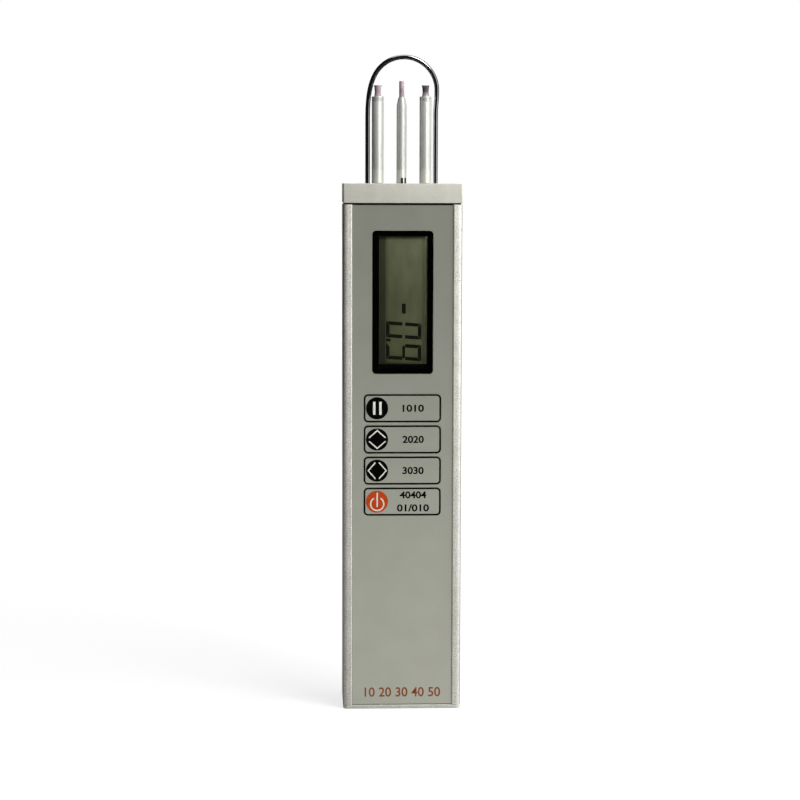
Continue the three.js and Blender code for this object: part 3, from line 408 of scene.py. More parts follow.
def surface(name, dark, light, grain, rough, metallic=0.0, bump=0.2, blotch=6 * MM, blotch_share=0.35,
            stretch=(1, 1, 1), detail=3.0, specular=0.5):
    """A surface with fine grain over soft blotches, in its colour, its roughness and its relief."""
    tree, shader = new_material(name)
    fine = noise(tree, grain, detail, stretch)
    broad = noise(tree, blotch, detail=2.0)
    feed(tree, shader, {
        "Base Color": mixed(tree, mottle(tree, fine, dark, light), mottle(tree, broad, dark, light),
                            "MIX", blotch_share),
        "Roughness": between(tree, fine, *rough),
        "Normal": relief(tree, fine, bump, grain * GRAIN_DEPTH),
        "Metallic": metallic,
        "Specular IOR Level": specular,
    })


def ink(name, dark, light, grain, rough=(0.4, 0.55), bump=0.05, specular=0.1):
    """Printing ink, which is nearly smooth and hardly shines."""
    surface(name, dark, light, grain, rough, bump=bump, specular=specular)


def paint_side_shade(name, colour):
    """Paint shade on a surface far from the middle plane: the case's sides and outermost edges are painted darker.
    """
    tree = materials[name].node_tree
    shader = tree.nodes["Principled BSDF"]
    distance = add_node(tree, "Math", {0: coordinate(tree, "X")}, operation="ABSOLUTE").outputs[0]
    side_shade_share = between(tree, distance, 0.0, 1.0, SIDE_SHADE_START, SIDE_SHADE_END)
    middle = shader.inputs["Base Color"].links[0].from_socket
    sides = shades(tree, side_shade_share, [(0.0, WHITE), (1.0, colour)])
    feed(tree, shader, {"Base Color": mixed(tree, middle, sides)})


def turned_metal(name, dark, light, rough, ring):
    """Metal from a lathe: fine rings round the upright axis, crossed by a soft grain."""
    tree, shader = new_material(name)
    rings = noise(tree, ring, detail=4.0, stretch=(0.03, 0.03, 1.0))
    grain = noise(tree, 0.25 * MM, detail=2.0)
    height = mixed(tree, rings, grain, "MIX", 0.3)
    around = add_node(tree, "Tangent", direction_type="RADIAL", axis="Z")
    feed(tree, shader, {
        "Base Color": shades(tree, height, [(0.35, dark), (0.65, light)]),
        "Roughness": between(tree, height, *rough),
        "Normal": relief(tree, height, 0.06, ring * RING_DEPTH),
        "Metallic": 0.6,
        "Anisotropic": 0.9,
        "Anisotropic Rotation": 0.25,
        "Tangent": around.outputs["Tangent"],
    })


def clear_pane(name):
    """A thin clear window, with a faint tint and a few fine smears."""
    tree, shader = new_material(name)
    smears = noise(tree, 5 * MM, detail=4.0, stretch=(1, 1, 0.25))
    feed(tree, shader, {
        "Base Color": mottle(tree, smears, (10, 11, 9), (34, 36, 30)),
        "Roughness": between(tree, smears, 0.04, 0.1),
        "Alpha": between(tree, smears, 0.02, 0.05),
    })


def ceramic(name, heights):
    """Smooth ceramic with faint mottling. Its colour changes from the foot of a tip to its top."""
    tree, shader = new_material(name)
    mottling = mottle(tree, noise(tree, 0.5 * MM), (234, 232, 232), WHITE)
    upwards = shades(tree, along(tree, "Z", tip_low_z, tip_high_z), heights)
    feed(tree, shader, {
        "Base Color": mixed(tree, upwards, mottling),
        "Roughness": between(tree, noise(tree, 0.2 * MM), 0.3, 0.42),
    })


def display_olive(name, margin, heights, sides):
    """The display's olive, which changes upwards and from left to right as painted light and shade, with faint
    upright smears.
    """
    tree, shader = new_material(name)
    smears = mottle(tree, noise(tree, 3 * MM, stretch=(1, 1, 0.4)), (228, 228, 224), WHITE)
    upwards = shades(tree, along(tree, "Z", SHEET_LOW, SHEET_HIGH), heights)
    across = shades(tree, along(tree, "X", SHEET_LEFT - margin, SHEET_RIGHT + margin), sides)
    feed(tree, shader, {
        "Base Color": mixed(tree, mixed(tree, upwards, across), smears),
        "Roughness": between(tree, noise(tree, 0.2 * MM), 0.4, 0.55),
        "Specular IOR Level": 0.15,
    })


BLASTED = {
    "dark": (174, 173, 163), "light": (248, 247, 237), "grain": 0.3 * MM, "rough": (0.38, 0.52),
    "metallic": 0.15, "bump": 1.2, "blotch_share": 0.2, "detail": 2.0,
}
surface("blasted_aluminium", **BLASTED)
surface("case_aluminium", **BLASTED)
# The case's sides and outermost edges are painted darker: painted shade.
paint_side_shade("case_aluminium", (128, 129, 127))
surface("plate_aluminium", (183, 181, 169), (211, 210, 199), 0.25 * MM, (0.38, 0.48), 0.15,
        bump=0.5, blotch=4 * MM, blotch_share=0.3, detail=2.0)
surface("panel_aluminium", (186, 186, 180), (212, 212, 206), 0.2 * MM, (0.35, 0.5), 0.9,
        stretch=(1, 1, 0.1))
turned_metal("turned_aluminium", (224, 225, 219), (238, 239, 233), (0.5, 0.56), 0.06 * MM)
surface("chrome_wire", (188, 190, 192), (202, 203, 205), 1.5 * MM, (0.03, 0.07), 1.0, bump=0.01)
surface("steel", (178, 180, 182), (212, 213, 214), 0.12 * MM, (0.26, 0.38), 1.0, stretch=(1, 0.15, 1))
surface("black_steel", (36, 36, 38), (58, 58, 61), 0.15 * MM, (0.35, 0.5), 0.7)
surface("gauge_foil", (180, 116, 48), (214, 150, 78), 0.18 * MM, (0.3, 0.45), 0.3, stretch=(6, 1, 1))
# The dark faces inside the stem's slots are painted shade.
surface("slot_painted_shade", (16, 16, 15), (30, 30, 28), 0.2 * MM, (0.7, 0.9), specular=0.1)

surface("printed_film", (171, 172, 158), (180, 181, 168), 0.12 * MM, (0.3, 0.36), 0.64,
        bump=0.04, blotch=9 * MM, blotch_share=0.5)
ink("black_print", (1, 2, 1), (6, 7, 6), 0.1 * MM, (0.45, 0.6), specular=0.02)
ink("orange_print", (186, 60, 14), (214, 86, 32), 0.4 * MM)
ink("brown_print", (140, 72, 38), (166, 92, 52), 0.3 * MM)
ink("pale_print", (228, 226, 216), (246, 244, 236), 0.2 * MM, specular=0.2)
ink("window_border", (0, 1, 0), (3, 4, 3), 0.15 * MM, (0.45, 0.6), bump=0.03, specular=0.0)
ink("figures", (14, 15, 9), (23, 25, 16), 0.3 * MM, (0.5, 0.6), bump=0.03, specular=0.02)

clear_pane("display_window")
# The cell: painted shade darkens its left margin, painted light lifts its right margin against the border's
# shadow, and painted light makes it lighter upwards.
display_olive(
    "display_glass", CELL_MARGIN,
    [(0.03, (145, 148, 112)), (0.42, (171, 175, 134)), (1.0, (200, 204, 156))],
    [(0.14, (70, 70, 68)), (0.86, (129, 129, 128)), (0.91, (127, 127, 126)), (0.93, (168, 168, 167)),
     (0.95, (252, 252, 252))])
# The sheet: painted shade darkens its foot and its left side, and painted light makes it lighter upwards and to
# the right.
display_olive(
    "display_sheet", 0.0,
    [(0.0, (76, 79, 56)), (0.05, (85, 88, 63)), (0.09, (92, 95, 69)), (0.5, (93, 96, 72)),
     (1.0, (110, 113, 88))],
    [(0.0, (176, 176, 170)), (0.11, (228, 228, 224)), (0.8, WHITE)])
ceramic("pink_ceramic", [(0.0, (166, 149, 153)), (0.45, (150, 133, 138)), (1.0, (178, 162, 166))])
ceramic("dark_ceramic", [(0.1, (160, 149, 153)), (0.5, (88, 75, 80)), (0.85, (90, 80, 84)),
                         (1.0, (128, 118, 122))])

surface("black_rubber", (3, 3, 3), (9, 9, 9), 0.2 * MM, (0.7, 0.9), bump=0.4, specular=0.05)
surface("board_laminate", (18, 74, 42), (34, 104, 62), 0.5 * MM, (0.3, 0.45), stretch=(1, 1, 4))
surface("black_plastic", (24, 24, 25), (38, 38, 40), 0.25 * MM, (0.4, 0.6), bump=0.3)
surface("white_plastic", (214, 212, 202), (232, 230, 222), 0.3 * MM, (0.4, 0.55))
surface("battery_jacket", (44, 60, 86), (66, 84, 112), 0.6 * MM, (0.3, 0.4), 0.3, stretch=(1, 1, 0.1))
surface("lead_jacket", (142, 34, 28), (168, 52, 42), 0.4 * MM, (0.4, 0.55))


# Shapes

def rounded(width, height, radius, across=0.0, up=0.0):
    """An outline with round corners, as a function of how far it is drawn in."""
    def at(inset):
        r = radius - inset
        half_width = width / 2 - radius
        half_height = height / 2 - radius
        points = []
        for i, (side, end) in enumerate(((1, 1), (-1, 1), (-1, -1), (1, -1))):
            start = i * pi / 2
            centre = across + side * half_width, up + end * half_height
            points += arc(*centre, r, start, start + pi / 2, CORNER_STEPS)
        return points
    return at


def disc(radius, across=0.0, up=0.0, sides=DISC_SIDES):
    def at(inset):
        return arc(across, up, radius - inset, 0.0, 2 * pi, sides)[:-1]
    return at


def cross(across, up):
    """The outline of a screw's cross recess."""
    def at(inset):
        reach = CROSS_SPAN / 2 - inset
        half = CROSS_WIDTH / 2 - inset
        arm = [(reach, -half), (reach, half), (half, half)]
        points = []
        for c, s in ((1, 0), (0, 1), (-1, 0), (0, -1)):
            points += [(across + c * u - s * v, up + s * u + c * v) for u, v in arm]
        return points
    return at


def fixed(points):
    """An outline that isn't drawn in at its rims."""
    return lambda inset: points


def arc(x, y, radius, start, end, steps):
    turns = [start + (end - start) * k / steps for k in range(steps + 1)]
    return [(x + radius * cos(t), y + radius * sin(t)) for t in turns]


def stroke(points, width):
    """The outline of a line of even width through the points, with square ends and mitred corners."""
    line = [Vector(p) for p in points]
    runs = [(end - start).normalized() for start, end in zip(line, line[1:])]
    left, right = [], []
    for i, point in enumerate(line):
        normals = [Vector((-d.y, d.x)) for d in runs[max(i - 1, 0):i + 1]]
        middle = sum(normals, Vector((0, 0))).normalized()
        reach = width / 2 / max(middle.dot(normals[0]), SHARPEST_MITRE)
        left.append(tuple(point + middle * reach))
        right.append(tuple(point - middle * reach))
    return left + right[::-1]


class Form:
    """The corners and faces of one piece, gathered before they become a mesh."""

    def __init__(self):
        self.points = []
        self.walls = []
        self.caps = []

    def ring(self, points):
        start = len(self.points)
        self.points += points
        return list(range(start, len(self.points)))

    def band(self, first, second):
        self.walls += zip(first, first[1:] + first[:1], second[1:] + second[:1], second)

    def plate(self, outline, low, high, rim=0.0, holes=(), upright=False):
        """A plate between two levels, flat or upright, with round rims and with holes right through."""
        def place(u, v, level):
            return (u, level, v) if upright else (u, v, level)
        ends = ([], [])
        for contour, levels in [(outline, rim_levels(low, high, rim)), *holes]:
            rings = [self.ring([place(*point, level) for point in contour(inset)])
                     for inset, level in levels]
            for first, second in zip(rings, rings[1:]):
                self.band(first, second)
            ends[0].append(rings[0])
            ends[1].append(rings[-1])
        for loops in ends:
            self.cap(loops)
        return self

    def cap(self, loops):
        """A flat face inside the first loop and outside the others."""
        corners = [index for loop in loops for index in loop]
        outlines = [[Vector(self.points[index]) for index in loop] for loop in loops]
        self.caps += [tuple(corners[i] for i in triple) for triple in tessellate_polygon(outlines)]

    def turned(self, profile, x, y):
        """A piece turned about an upright axis, from (radius, height) pairs that start and end on it."""
        last = None
        for radius, z in profile:
            circle = [(x, y)] if radius == 0 else disc(radius, x, y, TURNED_SIDES)(0.0)
            current = self.ring([(u, v, z) for u, v in circle])
            if last and len(last) == 1:
                self.walls += [(last[0], *pair) for pair in zip(current, current[1:] + current[:1])]
            elif last and len(current) == 1:
                self.walls += [(current[0], *pair) for pair in zip(last[1:] + last[:1], last)]
            elif last:
                self.band(last, current)
            last = current
        return self

    def mesh(self, name):
        mesh = bpy.data.meshes.new(name)
        mesh.from_pydata(self.points, [], self.walls + self.caps)
        work = bmesh.new()
        work.from_mesh(mesh)
        bmesh.ops.recalc_face_normals(work, faces=work.faces)
        work.faces.ensure_lookup_table()
        flat = set(work.faces[len(self.walls):])
        for edge in work.edges:
            if len([face for face in edge.link_faces if face in flat]) == 1:
                edge.smooth = False
        work.to_mesh(mesh)
        work.free()
        return smoothed(mesh)


def rim_levels(low, high, edge):
    """How far each ring of a rounded rim is drawn in and its level, from one face to the other."""
    if edge == 0:
        return [(0.0, high), (0.0, low)]
    turns = [pi / 2 * k / RIM_STEPS for k in range(RIM_STEPS + 1)]
    top = [(edge * (1 - sin(t)), high - edge * (1 - cos(t))) for t in turns]
    return top + [(inset, low + high - level) for inset, level in reversed(top)]


def hole(contour, low, high, rim=0.0):
    """A hole through a plate, as its outline and how far that is drawn in at each level."""
    return contour, [(-inset, level) for inset, level in rim_levels(low, high, rim)]


def countersunk(x, y, radius, face, far):
    """The flared seat of a screw, from the plate's face to its far side."""
    inward = 1 if far > face else -1
    flare = radius - SHANK_RADIUS - SHANK_GAP
    levels = [(-BORE_RIM, face), (0.0, face + inward * HEAD_RECESS),
              (flare, face + inward * (HEAD_RECESS + flare)), (flare, far)]
    return disc(radius, x, y), sorted(levels, key=lambda step: -step[1])


def eased(profile, ease):
    """The profile with each of its corners rounded off."""
    points = [Vector(p) for p in profile]
    result = [profile[0]]
    for before, corner, after in zip(points, points[1:], points[2:]):
        to_before, to_after = before - corner, after - corner
        reach = min(ease, to_before.length * EASE_SHARE, to_after.length * EASE_SHARE)
        start = corner + to_before.normalized() * reach
        end = corner + to_after.normalized() * reach
        for k in range(EASE_STEPS + 1):
            t = k / EASE_STEPS
            point = start * (1 - t) ** 2 + corner * 2 * t * (1 - t) + end * t ** 2
            result.append((max(point.x, OFF_AXIS), point.y))
    result.append(profile[-1])
    return result


def box_outline(low, high, corner, margin=0.0):
    """The upright outline of a node's box, widened by a margin, with round corners."""
    width, _, height = high - low
    return rounded(width + 2 * margin, height + 2 * margin, corner + margin, 0, (low.z + high.z) / 2)


# Pieces

def round_box(name):
    """The middle, radius, lowest and highest level of a node that is round about an upright axis."""
    low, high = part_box(name)
    return (low.x + high.x) / 2, (low.y + high.y) / 2, (high.x - low.x) / 2, low.z, high.z


def smoothed(mesh):
    sharp = [edge.index for edge in mesh.edges if edge.use_edge_sharp]
    mesh.shade_smooth()
    mesh.set_sharp_from_angle(angle=SHARP_ANGLE)
    for index in sharp:
        mesh.edges[index].use_edge_sharp = True
    return mesh


def placed(name, data):
    thing = bpy.data.objects.new(name, data)
    scene.collection.objects.link(thing)
    return thing


def add_piece(name, shape, slot, *replaced, body="case", finish=None):
    """A piece from a form or a mesh. Its surface is its slot's unless another one is named."""
    mesh = shape.mesh(name) if isinstance(shape, Form) else shape
    if not mesh.materials:
        mesh.materials.append(materials[finish or slot])
    piece = placed(name, mesh)
    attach(piece, body)
    if replaced:
        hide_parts(*replaced)


def add_upright(name, outline, low, high, slot, *replaced, rim=0.0, holes=(), **choices):
    """An upright plate as a piece, with holes that have rims like its own."""
    holes = [hole(contour, low, high, rim) for contour in holes]
    form = Form().plate(outline, low, high, rim, holes, upright=True)
    add_piece(name, form, slot, *replaced, **choices)


def mesh_of(holder):
    """The finished mesh of a curve, text or modified piece, which is then removed."""
    bpy.context.view_layer.update()
    evaluated = holder.evaluated_get(bpy.context.evaluated_depsgraph_get())
    mesh = bpy.data.meshes.new_from_object(evaluated)
    mesh.transform(holder.matrix_world)
    bpy.data.objects.remove(holder)
    return mesh


def numbers(text, width, height, weight, x, z, front):
    """A line of plain numbers, fitted to a width and a height on the upright front."""
    curve = bpy.data.curves.new("numbers", "FONT")
    curve.body = text
    curve.offset = weight
    curve.extrude = (PRINT_PROUD + PRINT_SUNK) / 2
    mesh = mesh_of(placed("numbers", curve))
    low = Vector(map(min, *(v.co for v in mesh.vertices)))
    high = Vector(map(max, *(v.co for v in mesh.vertices)))
    fit = Matrix.Diagonal((width / (high.x - low.x), height / (high.y - low.y), 1, 1))
    upright = Matrix.Rotation(pi / 2, 4, "X")
    place = Vector((x, front - (PRINT_PROUD - PRINT_SUNK) / 2, z))
    middle = (low + high) / 2
    mesh.transform(Matrix.Translation(place) @ upright @ fit @ Matrix.Translation(-middle))
    return smoothed(mesh)


# The case and its end plates

def screws(prefix):
    names = [f"{prefix}_screw_{end}_{side}" for end in ("front", "back") for side in ("left", "right")]
    return {name: round_box(name) for name in names}


def seats(prefix, face, far):
    places = screws(prefix).values()
    return [countersunk(x, y, radius + SEAT_GAP, face, far) for x, y, radius, _, _ in places]


def case_section():
    """The extrusion's section: the outer skin, two front rails and the hollow inside."""
    half, front, back = case_high.x, case_low.y, case_high.y
    mouth = half - RAIL_WIDTH
    hollow = half - CASE_WALL
    hollow_front = front + RAIL_THICKNESS
    skin = rounded(2 * half, back - front, CASE_CORNER, 0, (front + back) / 2)(0.0)
    outer = skin[-CORNER_STEPS - 1:] + skin[:-CORNER_STEPS - 1]
    left_lip = [(-mouth - RAIL_BEVEL, front), (-mouth, front + RAIL_BEVEL), (-mouth, hollow_front)]
    rear = back - CASE_WALL
    inside = [(-hollow, hollow_front), (-hollow, rear), (hollow, rear), (hollow, hollow_front)]
    right_lip = [(-x, y) for x, y in reversed(left_lip)]
    return outer + left_lip + inside + right_lip


def add_case():
    span = (case_low.z, case_high.z)
    form = Form().plate(fixed(case_section()), *span)
    for x, y, _, _, _ in screws("base").values():
        form.plate(disc(PORT_RADIUS, x, y), *span, holes=[hole(disc(PORT_BORE, x, y), *span)])
    add_piece("case_shell", form, "blasted_aluminium", "case_extrusion", finish="case_aluminium")


def add_head_plate():
    """The head plate with its bores and seats, and the spigot under it that enters the case."""
    width, depth, _ = head_high - head_low
    span = (plate_low_z, head_high.z)
    bores = [hole(disc(STEM_BORE, 0, guide_y), *span, BORE_RIM)]
    for side in (-1, 1):
        for radius, x in ((WIRE_RADIUS + SEAT_GAP, LEG_SPREAD), (POST_BORE, post_x)):
            bores.append(hole(disc(radius, side * x, guide_y), *span, BORE_RIM))
    form = Form().plate(rounded(width, depth, HEAD_CORNER), *span, PLATE_RIM,
                        seats("head", head_high.z, plate_low_z) + bores)
    front, back = head_low.y + SPIGOT_FRONT_GAP, head_high.y - SPIGOT_BACK_GAP
    spigot = rounded(width - 2 * SPIGOT_SIDE_GAP, back - front, SPIGOT_CORNER, 0, (front + back) / 2)
    span = (head_low.z, plate_low_z)
    form.plate(spigot, *span, holes=[hole(disc(STEM_BORE, 0, guide_y), *span)])
    add_piece("head_cover", form, "blasted_aluminium", "head_plate", finish="plate_aluminium")


def add_bottom_plate():
    width, depth, _ = base_high - base_low
    form = Form().plate(rounded(width, depth, CASE_CORNER), base_low.z, base_high.z, PLATE_RIM,
                        seats("base", base_low.z, base_high.z))
    add_piece("foot_cover", form, "blasted_aluminium", "bottom_plate")


def add_screws(prefix):
    """Countersunk screws with a cross recess, flush in an end plate. Those of the head point down."""
    for name, (x, y, radius, low, high) in screws(prefix).items():
        face, tip, inward = (high, low, -1) if prefix == "head" else (low, high, 1)
        floor = face + inward * CROSS_DEPTH
        span = (min(face, floor), max(face, floor))
        form = Form().plate(disc(radius, x, y), *span, SCREW_RIM, [hole(cross(x, y), *span)])
        cone = floor + inward * (radius - SHANK_RADIUS)
        form.turned([(0, floor), (radius - SCREW_RIM, floor), (SHANK_RADIUS, cone), (SHANK_RADIUS, tip),
                     (0, tip)], x, y)
        add_piece(f"{name}_fine", form, "steel", name)


# The film, its print and the keys

def key_outline(index, margin):
    return box_outline(*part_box(f"key_{index + 1}_pad"), KEY_CORNER, margin)


def window_outline(margin):
    return box_outline(window_low, window_high, WINDOW_CORNER, margin)


def add_film():
    slits = [key_outline(index, KEY_SLIT) for index in range(KEY_COUNT)]
    add_upright("film_sheet", box_outline(film_low, film_high, FILM_RIM * 2), film_low.y, film_high.y,
                "printed_film", "panel_film", rim=FILM_RIM, holes=[window_outline(WINDOW_SEAM), *slits])
    foot = numbers(FOOT_NUMBERS, FOOT_NUMBERS_WIDTH, FOOT_NUMBERS_HEIGHT, FOOT_NUMBERS_WEIGHT,
                   FOOT_NUMBERS_X, FOOT_NUMBERS_Z, film_low.y)
    add_piece("foot_numbers", foot, "orange_print", finish="brown_print")


def two_bars(x, z):
    half = BAR_HEIGHT / 2
    offset = (BAR_GAP + BAR_WIDTH) / 2
    return [stroke([(x + u, z - half), (x + u, z + half)], BAR_WIDTH) for u in (-offset, offset)]


def chevrons(x, z, sideways=False):
    """A pair of chevrons back to back, that point up and down or to both sides."""
    outlines = []
    for sign in (1, -1):
        end = sign * CHEVRON_END
        line = [(-CHEVRON_REACH, end), (0, sign * CHEVRON_APEX), (CHEVRON_REACH, end)]
        if sideways:
            line = [(v, u) for u, v in line]
        outlines.append(stroke([(x + u, z + v) for u, v in line], SYMBOL_LINE))
    return outlines


def power_sign(x, z):
    """An open ring with an upright bar through its opening."""
    start = pi / 2 + POWER_OPENING
    end = start + 2 * (pi - POWER_OPENING)
    ring = arc(x, z - POWER_DROP, POWER_RADIUS, start, end, TURNED_SIDES)
    bar = [(x, z + POWER_BAR_FOOT), (x, z + POWER_BAR_TOP)]
    return [stroke(line, POWER_LINE) for line in (ring, bar)]


def symbol(index, x, z):
    if index == 0:
        return two_bars(x, z)
    if index == KEY_COUNT - 1:
        return power_sign(x, z)
    return chevrons(x, z, sideways=index == 2)


def add_key(index):
    """A key's film pad and what is printed on it: a line, a disc, a symbol and numbers."""
    name = f"key_{index + 1}"
    low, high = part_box(f"{name}_pad")
    z = (low.z + high.z) / 2
    add_upright(f"{name}_face", key_outline(index, 0), low.y, high.y, "printed_film", f"{name}_pad",
                rim=FILM_RIM, body=name)
    proud, sunk = low.y - PRINT_PROUD, low.y + PRINT_SUNK
    inner = key_outline(index, -KEY_LINE_EDGE - KEY_LINE_WIDTH)
    add_upright(f"{name}_line", key_outline(index, -KEY_LINE_EDGE), proud, sunk, "black_print",
                holes=[inner], body=name)
    colour = "orange_print" if index == KEY_COUNT - 1 else "black_print"
    spot = disc(DISC_RADIUS, DISC_X, z, TURNED_SIDES)
    add_upright(f"{name}_disc", spot, proud, sunk, colour, body=name)
    mark = Form()
    for outline in symbol(index, DISC_X + SYMBOL_X, z):
        mark.plate(fixed(outline), proud - PRINT_PROUD, sunk, upright=True)
    add_piece(f"{name}_symbol", mark, "white_plastic", body=name, finish="pale_print")
    for row, (text, width, lift) in enumerate(LABELS[index]):
        mesh = numbers(text, width, LABEL_HEIGHT, LABEL_WEIGHT, LABEL_X, z + lift, low.y)
        add_piece(f"{name}_number_{row + 1}", mesh, "black_print", body=name)


# The display

def add_window():
    """The clear pane and, printed on its back, the dark border."""
    back = window_high.y - BORDER_THICKNESS
    add_upright("window_pane", window_outline(0), window_low.y, back, "display_window", "display_window",
                rim=WINDOW_RIM)
    z = (window_low.z + window_high.z) / 2
    view = rounded(VIEW_WIDTH, VIEW_HEIGHT, VIEW_CORNER, VIEW_SHIFT, z)
    add_upright("window_border", window_outline(0), back, window_high.y, "black_print", holes=[view],
                finish="window_border")


def figure(lit):
    """The segments of a seven-segment figure: a top, b and c right, d foot, e and f left, g middle."""
    w, h, line, gap = FIGURE_WIDTH, FIGURE_HEIGHT, FIGURE_LINE, FIGURE_GAP
    middle = h / 2
    low = middle + FIGURE_HALF_GAP
    top = [(gap, h), (w - gap, h), (w - gap - line, h - line), (gap + line, h - line)]
    side = [(w, h - gap), (w, low), (w - line, low), (w - line, h - gap - line)]
    reach = w / 2 - FIGURE_BAR_INSET
    half = FIGURE_BAR_LINE / 2
    corners = ((-reach, 0), (half - reach, -half), (reach - half, -half),
               (reach, 0), (reach - half, half), (half - reach, half))

    def flipped(outline):
        return [(u, h - v) for u, v in outline]

    def swapped(outline):
        return [(w - u, v) for u, v in outline]

    segments = {
        "a": top, "b": side, "c": flipped(side), "d": flipped(top), "e": swapped(flipped(side)),
        "f": swapped(side), "g": [(w / 2 + u, middle + v) for u, v in corners],
    }
    return [segments[key] for key in lit]


def on_cell(outline, z):
    """A figure's outline laid on the cell: it reads downwards, with its head to the right."""
    return [(FIGURE_FOOT_X + v, z - u - FIGURE_LEAN * v) for u, v in outline]


def add_display():
    """The cell, the olive sheet and a band of painted shade below it on the cell, and the figures that it shows.
    """
    add_upright("display_cell", box_outline(cell_low, cell_high, CELL_RIM * 2), cell_low.y, cell_high.y,
                "display_glass", "display_glass", rim=CELL_RIM)
    span = (cell_low.y - SHEET_PROUD, cell_low.y + SHEET_PROUD)
    sheet = rounded(SHEET_RIGHT - SHEET_LEFT, SHEET_HIGH - SHEET_LOW, CELL_RIM,
                    (SHEET_LEFT + SHEET_RIGHT) / 2, (SHEET_LOW + SHEET_HIGH) / 2)
    add_upright("display_sheet", sheet, *span, "display_glass", finish="display_sheet")
    # A black band on the cell below the sheet, which is painted shade at the foot of the view.
    shade_band = rounded(cell_high.x - cell_low.x - 2 * CELL_RIM, SHADE_BAND_HIGH - SHADE_BAND_LOW, CELL_RIM,
                   0, (SHADE_BAND_LOW + SHADE_BAND_HIGH) / 2)
    add_upright("display_shade_band", shade_band, *span, "black_print")
    outlines = [on_cell(bar, FIRST_FIGURE_Z) for bar in figure("abcdef")]
    outlines += [on_cell(bar, FIRST_FIGURE_Z - FIGURE_PITCH) for bar in figure("abcdfg")]
    point = [(0, 0), (POINT_WIDTH, 0), (POINT_WIDTH, POINT_HEIGHT), (0, POINT_HEIGHT)]
    dash_x = FIGURE_FOOT_X + FIGURE_HEIGHT / 2
    outlines += [on_cell(point, POINT_Z), stroke([(dash_x, DASH_LOW), (dash_x, DASH_HIGH)], DASH_WIDTH)]
    shown = Form()
    for outline in outlines:
        shown.plate(fixed(outline), span[0] - FIGURE_PROUD, span[0] + FIGURE_PROUD, upright=True)
    add_piece("display_figures", shown, "black_print", finish="figures")


# The yarn guides

def grooved(radius, heights):
    """The side of a turned piece, with fine grooves below the given heights."""
    points = []
    for z in heights:
        floor = (radius - GROOVE_DEPTH, z - GROOVE_WIDTH / 2)
        points += [(radius, z - GROOVE_WIDTH), floor, (radius, z)]
    return points


def add_post(side):
    x, _, radius, low, top = round_box(f"{side}_post")
    shoulder = head_high.z + POST_SHOULDER
    shank = [(0, low), (POST_SHANK, low), (POST_SHANK, shoulder), (radius, shoulder)]
    profile = eased(shank, POST_EASE)[:-1]
    profile += [(radius - POST_EASE, shoulder), (radius, shoulder + POST_EASE)]
    profile += grooved(radius, [top - drop for drop in POST_GROOVES])
    profile += eased([(radius, top - POST_EASE * 2), (radius, top), (0, top)], POST_EASE)
    form = Form().turned(profile, x, guide_y)
    add_piece(f"{side}_guide_post", form, "turned_aluminium", f"{side}_post")


def add_tip(side, slot):
    """A ceramic tip: it curves in to a waist, out again, and ends in a narrow lip."""
    x, _, radius, _, top = round_box(f"{side}_guide_tip")
    height = top - TIP_LIP_HEIGHT - tip_low_z
    profile = [(0, tip_low_z)]
    for k in range(TIP_STEPS + 1):
        share = k / TIP_STEPS
        away, end = 1 - share / TIP_WAIST_SHARE, TIP_BASE
        if away < 0:
            away, end = (share - TIP_WAIST_SHARE) / (1 - TIP_WAIST_SHARE), radius - TIP_LIP
        across = TIP_WAIST + (end - TIP_WAIST) * away ** TIP_CURVE
        profile.append((across, tip_low_z + share * height))
    lip = [(radius, top - TIP_LIP_HEIGHT / 2), (radius, top), (0, top)]
    profile += eased([profile[-1], *lip], TIP_RIM)[1:]
    add_piece(f"{side}_ceramic_tip", Form().turned(profile, x, guide_y), slot, f"{side}_guide_tip")


def slot_cutter(turn):
    """A wrench slot at the foot of the stem, turned about the stem's axis."""
    half, inner, outer = SLOT_WIDTH / 2, SLOT_DEPTH - STEM_RADIUS, -STEM_RADIUS - SLOT_DEPTH
    outline = [(-half, outer), (half, outer), (half, inner), (-half, inner)]
    mesh = Form().plate(fixed(outline), head_high.z, head_high.z + SLOT_HEIGHT).mesh("slot")
    mesh.transform(Matrix.Translation((0, guide_y, 0)) @ Matrix.Rotation(turn, 4, "Z"))
    # The slot's cut faces take the dark slot surface, which is painted shade.
    mesh.materials.append(materials["slot_painted_shade"])
    return placed("slot", mesh)


def add_stem():
    _, _, _, low, high = round_box("sensing_stem")
    shoulder = high - STEM_TOP[0][0]
    profile = eased([(0, low), (STEM_RADIUS, low), (STEM_RADIUS, shoulder)], STEM_EASE)[:-1]
    profile += [(radius, high - drop) for drop, radius in STEM_TOP[1:]] + [(0, high)]
    stem = placed("stem", Form().turned(profile, 0, guide_y).mesh("stem"))
    stem.data.materials.append(materials["turned_aluminium"])
    cutters = [slot_cutter(turn) for turn in SLOT_TURNS]
    for cutter in cutters:
        cut = stem.modifiers.new("slot", "BOOLEAN")
        cut.operation = "DIFFERENCE"
        cut.solver = "EXACT"
        cut.material_mode = "TRANSFER"
        cut.object = cutter
    mesh = smoothed(mesh_of(stem))
    for cutter in cutters:
        bpy.data.objects.remove(cutter)
    add_piece("stem_fine", mesh, "turned_aluminium", "sensing_stem", body="stem")


def add_pin():
    _, _, radius, low, high = round_box("sensing_pin")
    profile = eased([(0, low), (radius, low), (radius, high), (0, high)], PIN_EASE)
    add_piece("pin_fine", Form().turned(profile, 0, guide_y), "pink_ceramic", "sensing_pin", body="stem")


def arch_point(turn):
    """A point of the arch with its two handles, for one even part of the arc."""
    hand = 4 / 3 * tan(ARCH_END / ARCH_PARTS / 4) * ARCH_RADIUS
    out = Vector((cos(turn), sin(turn)))
    onward = Vector((sin(turn), -cos(turn)))
    point = Vector((ARCH_SHIFT, ARCH_RISE)) + out * ARCH_RADIUS
    return [point - onward * hand, point, point + onward * hand]


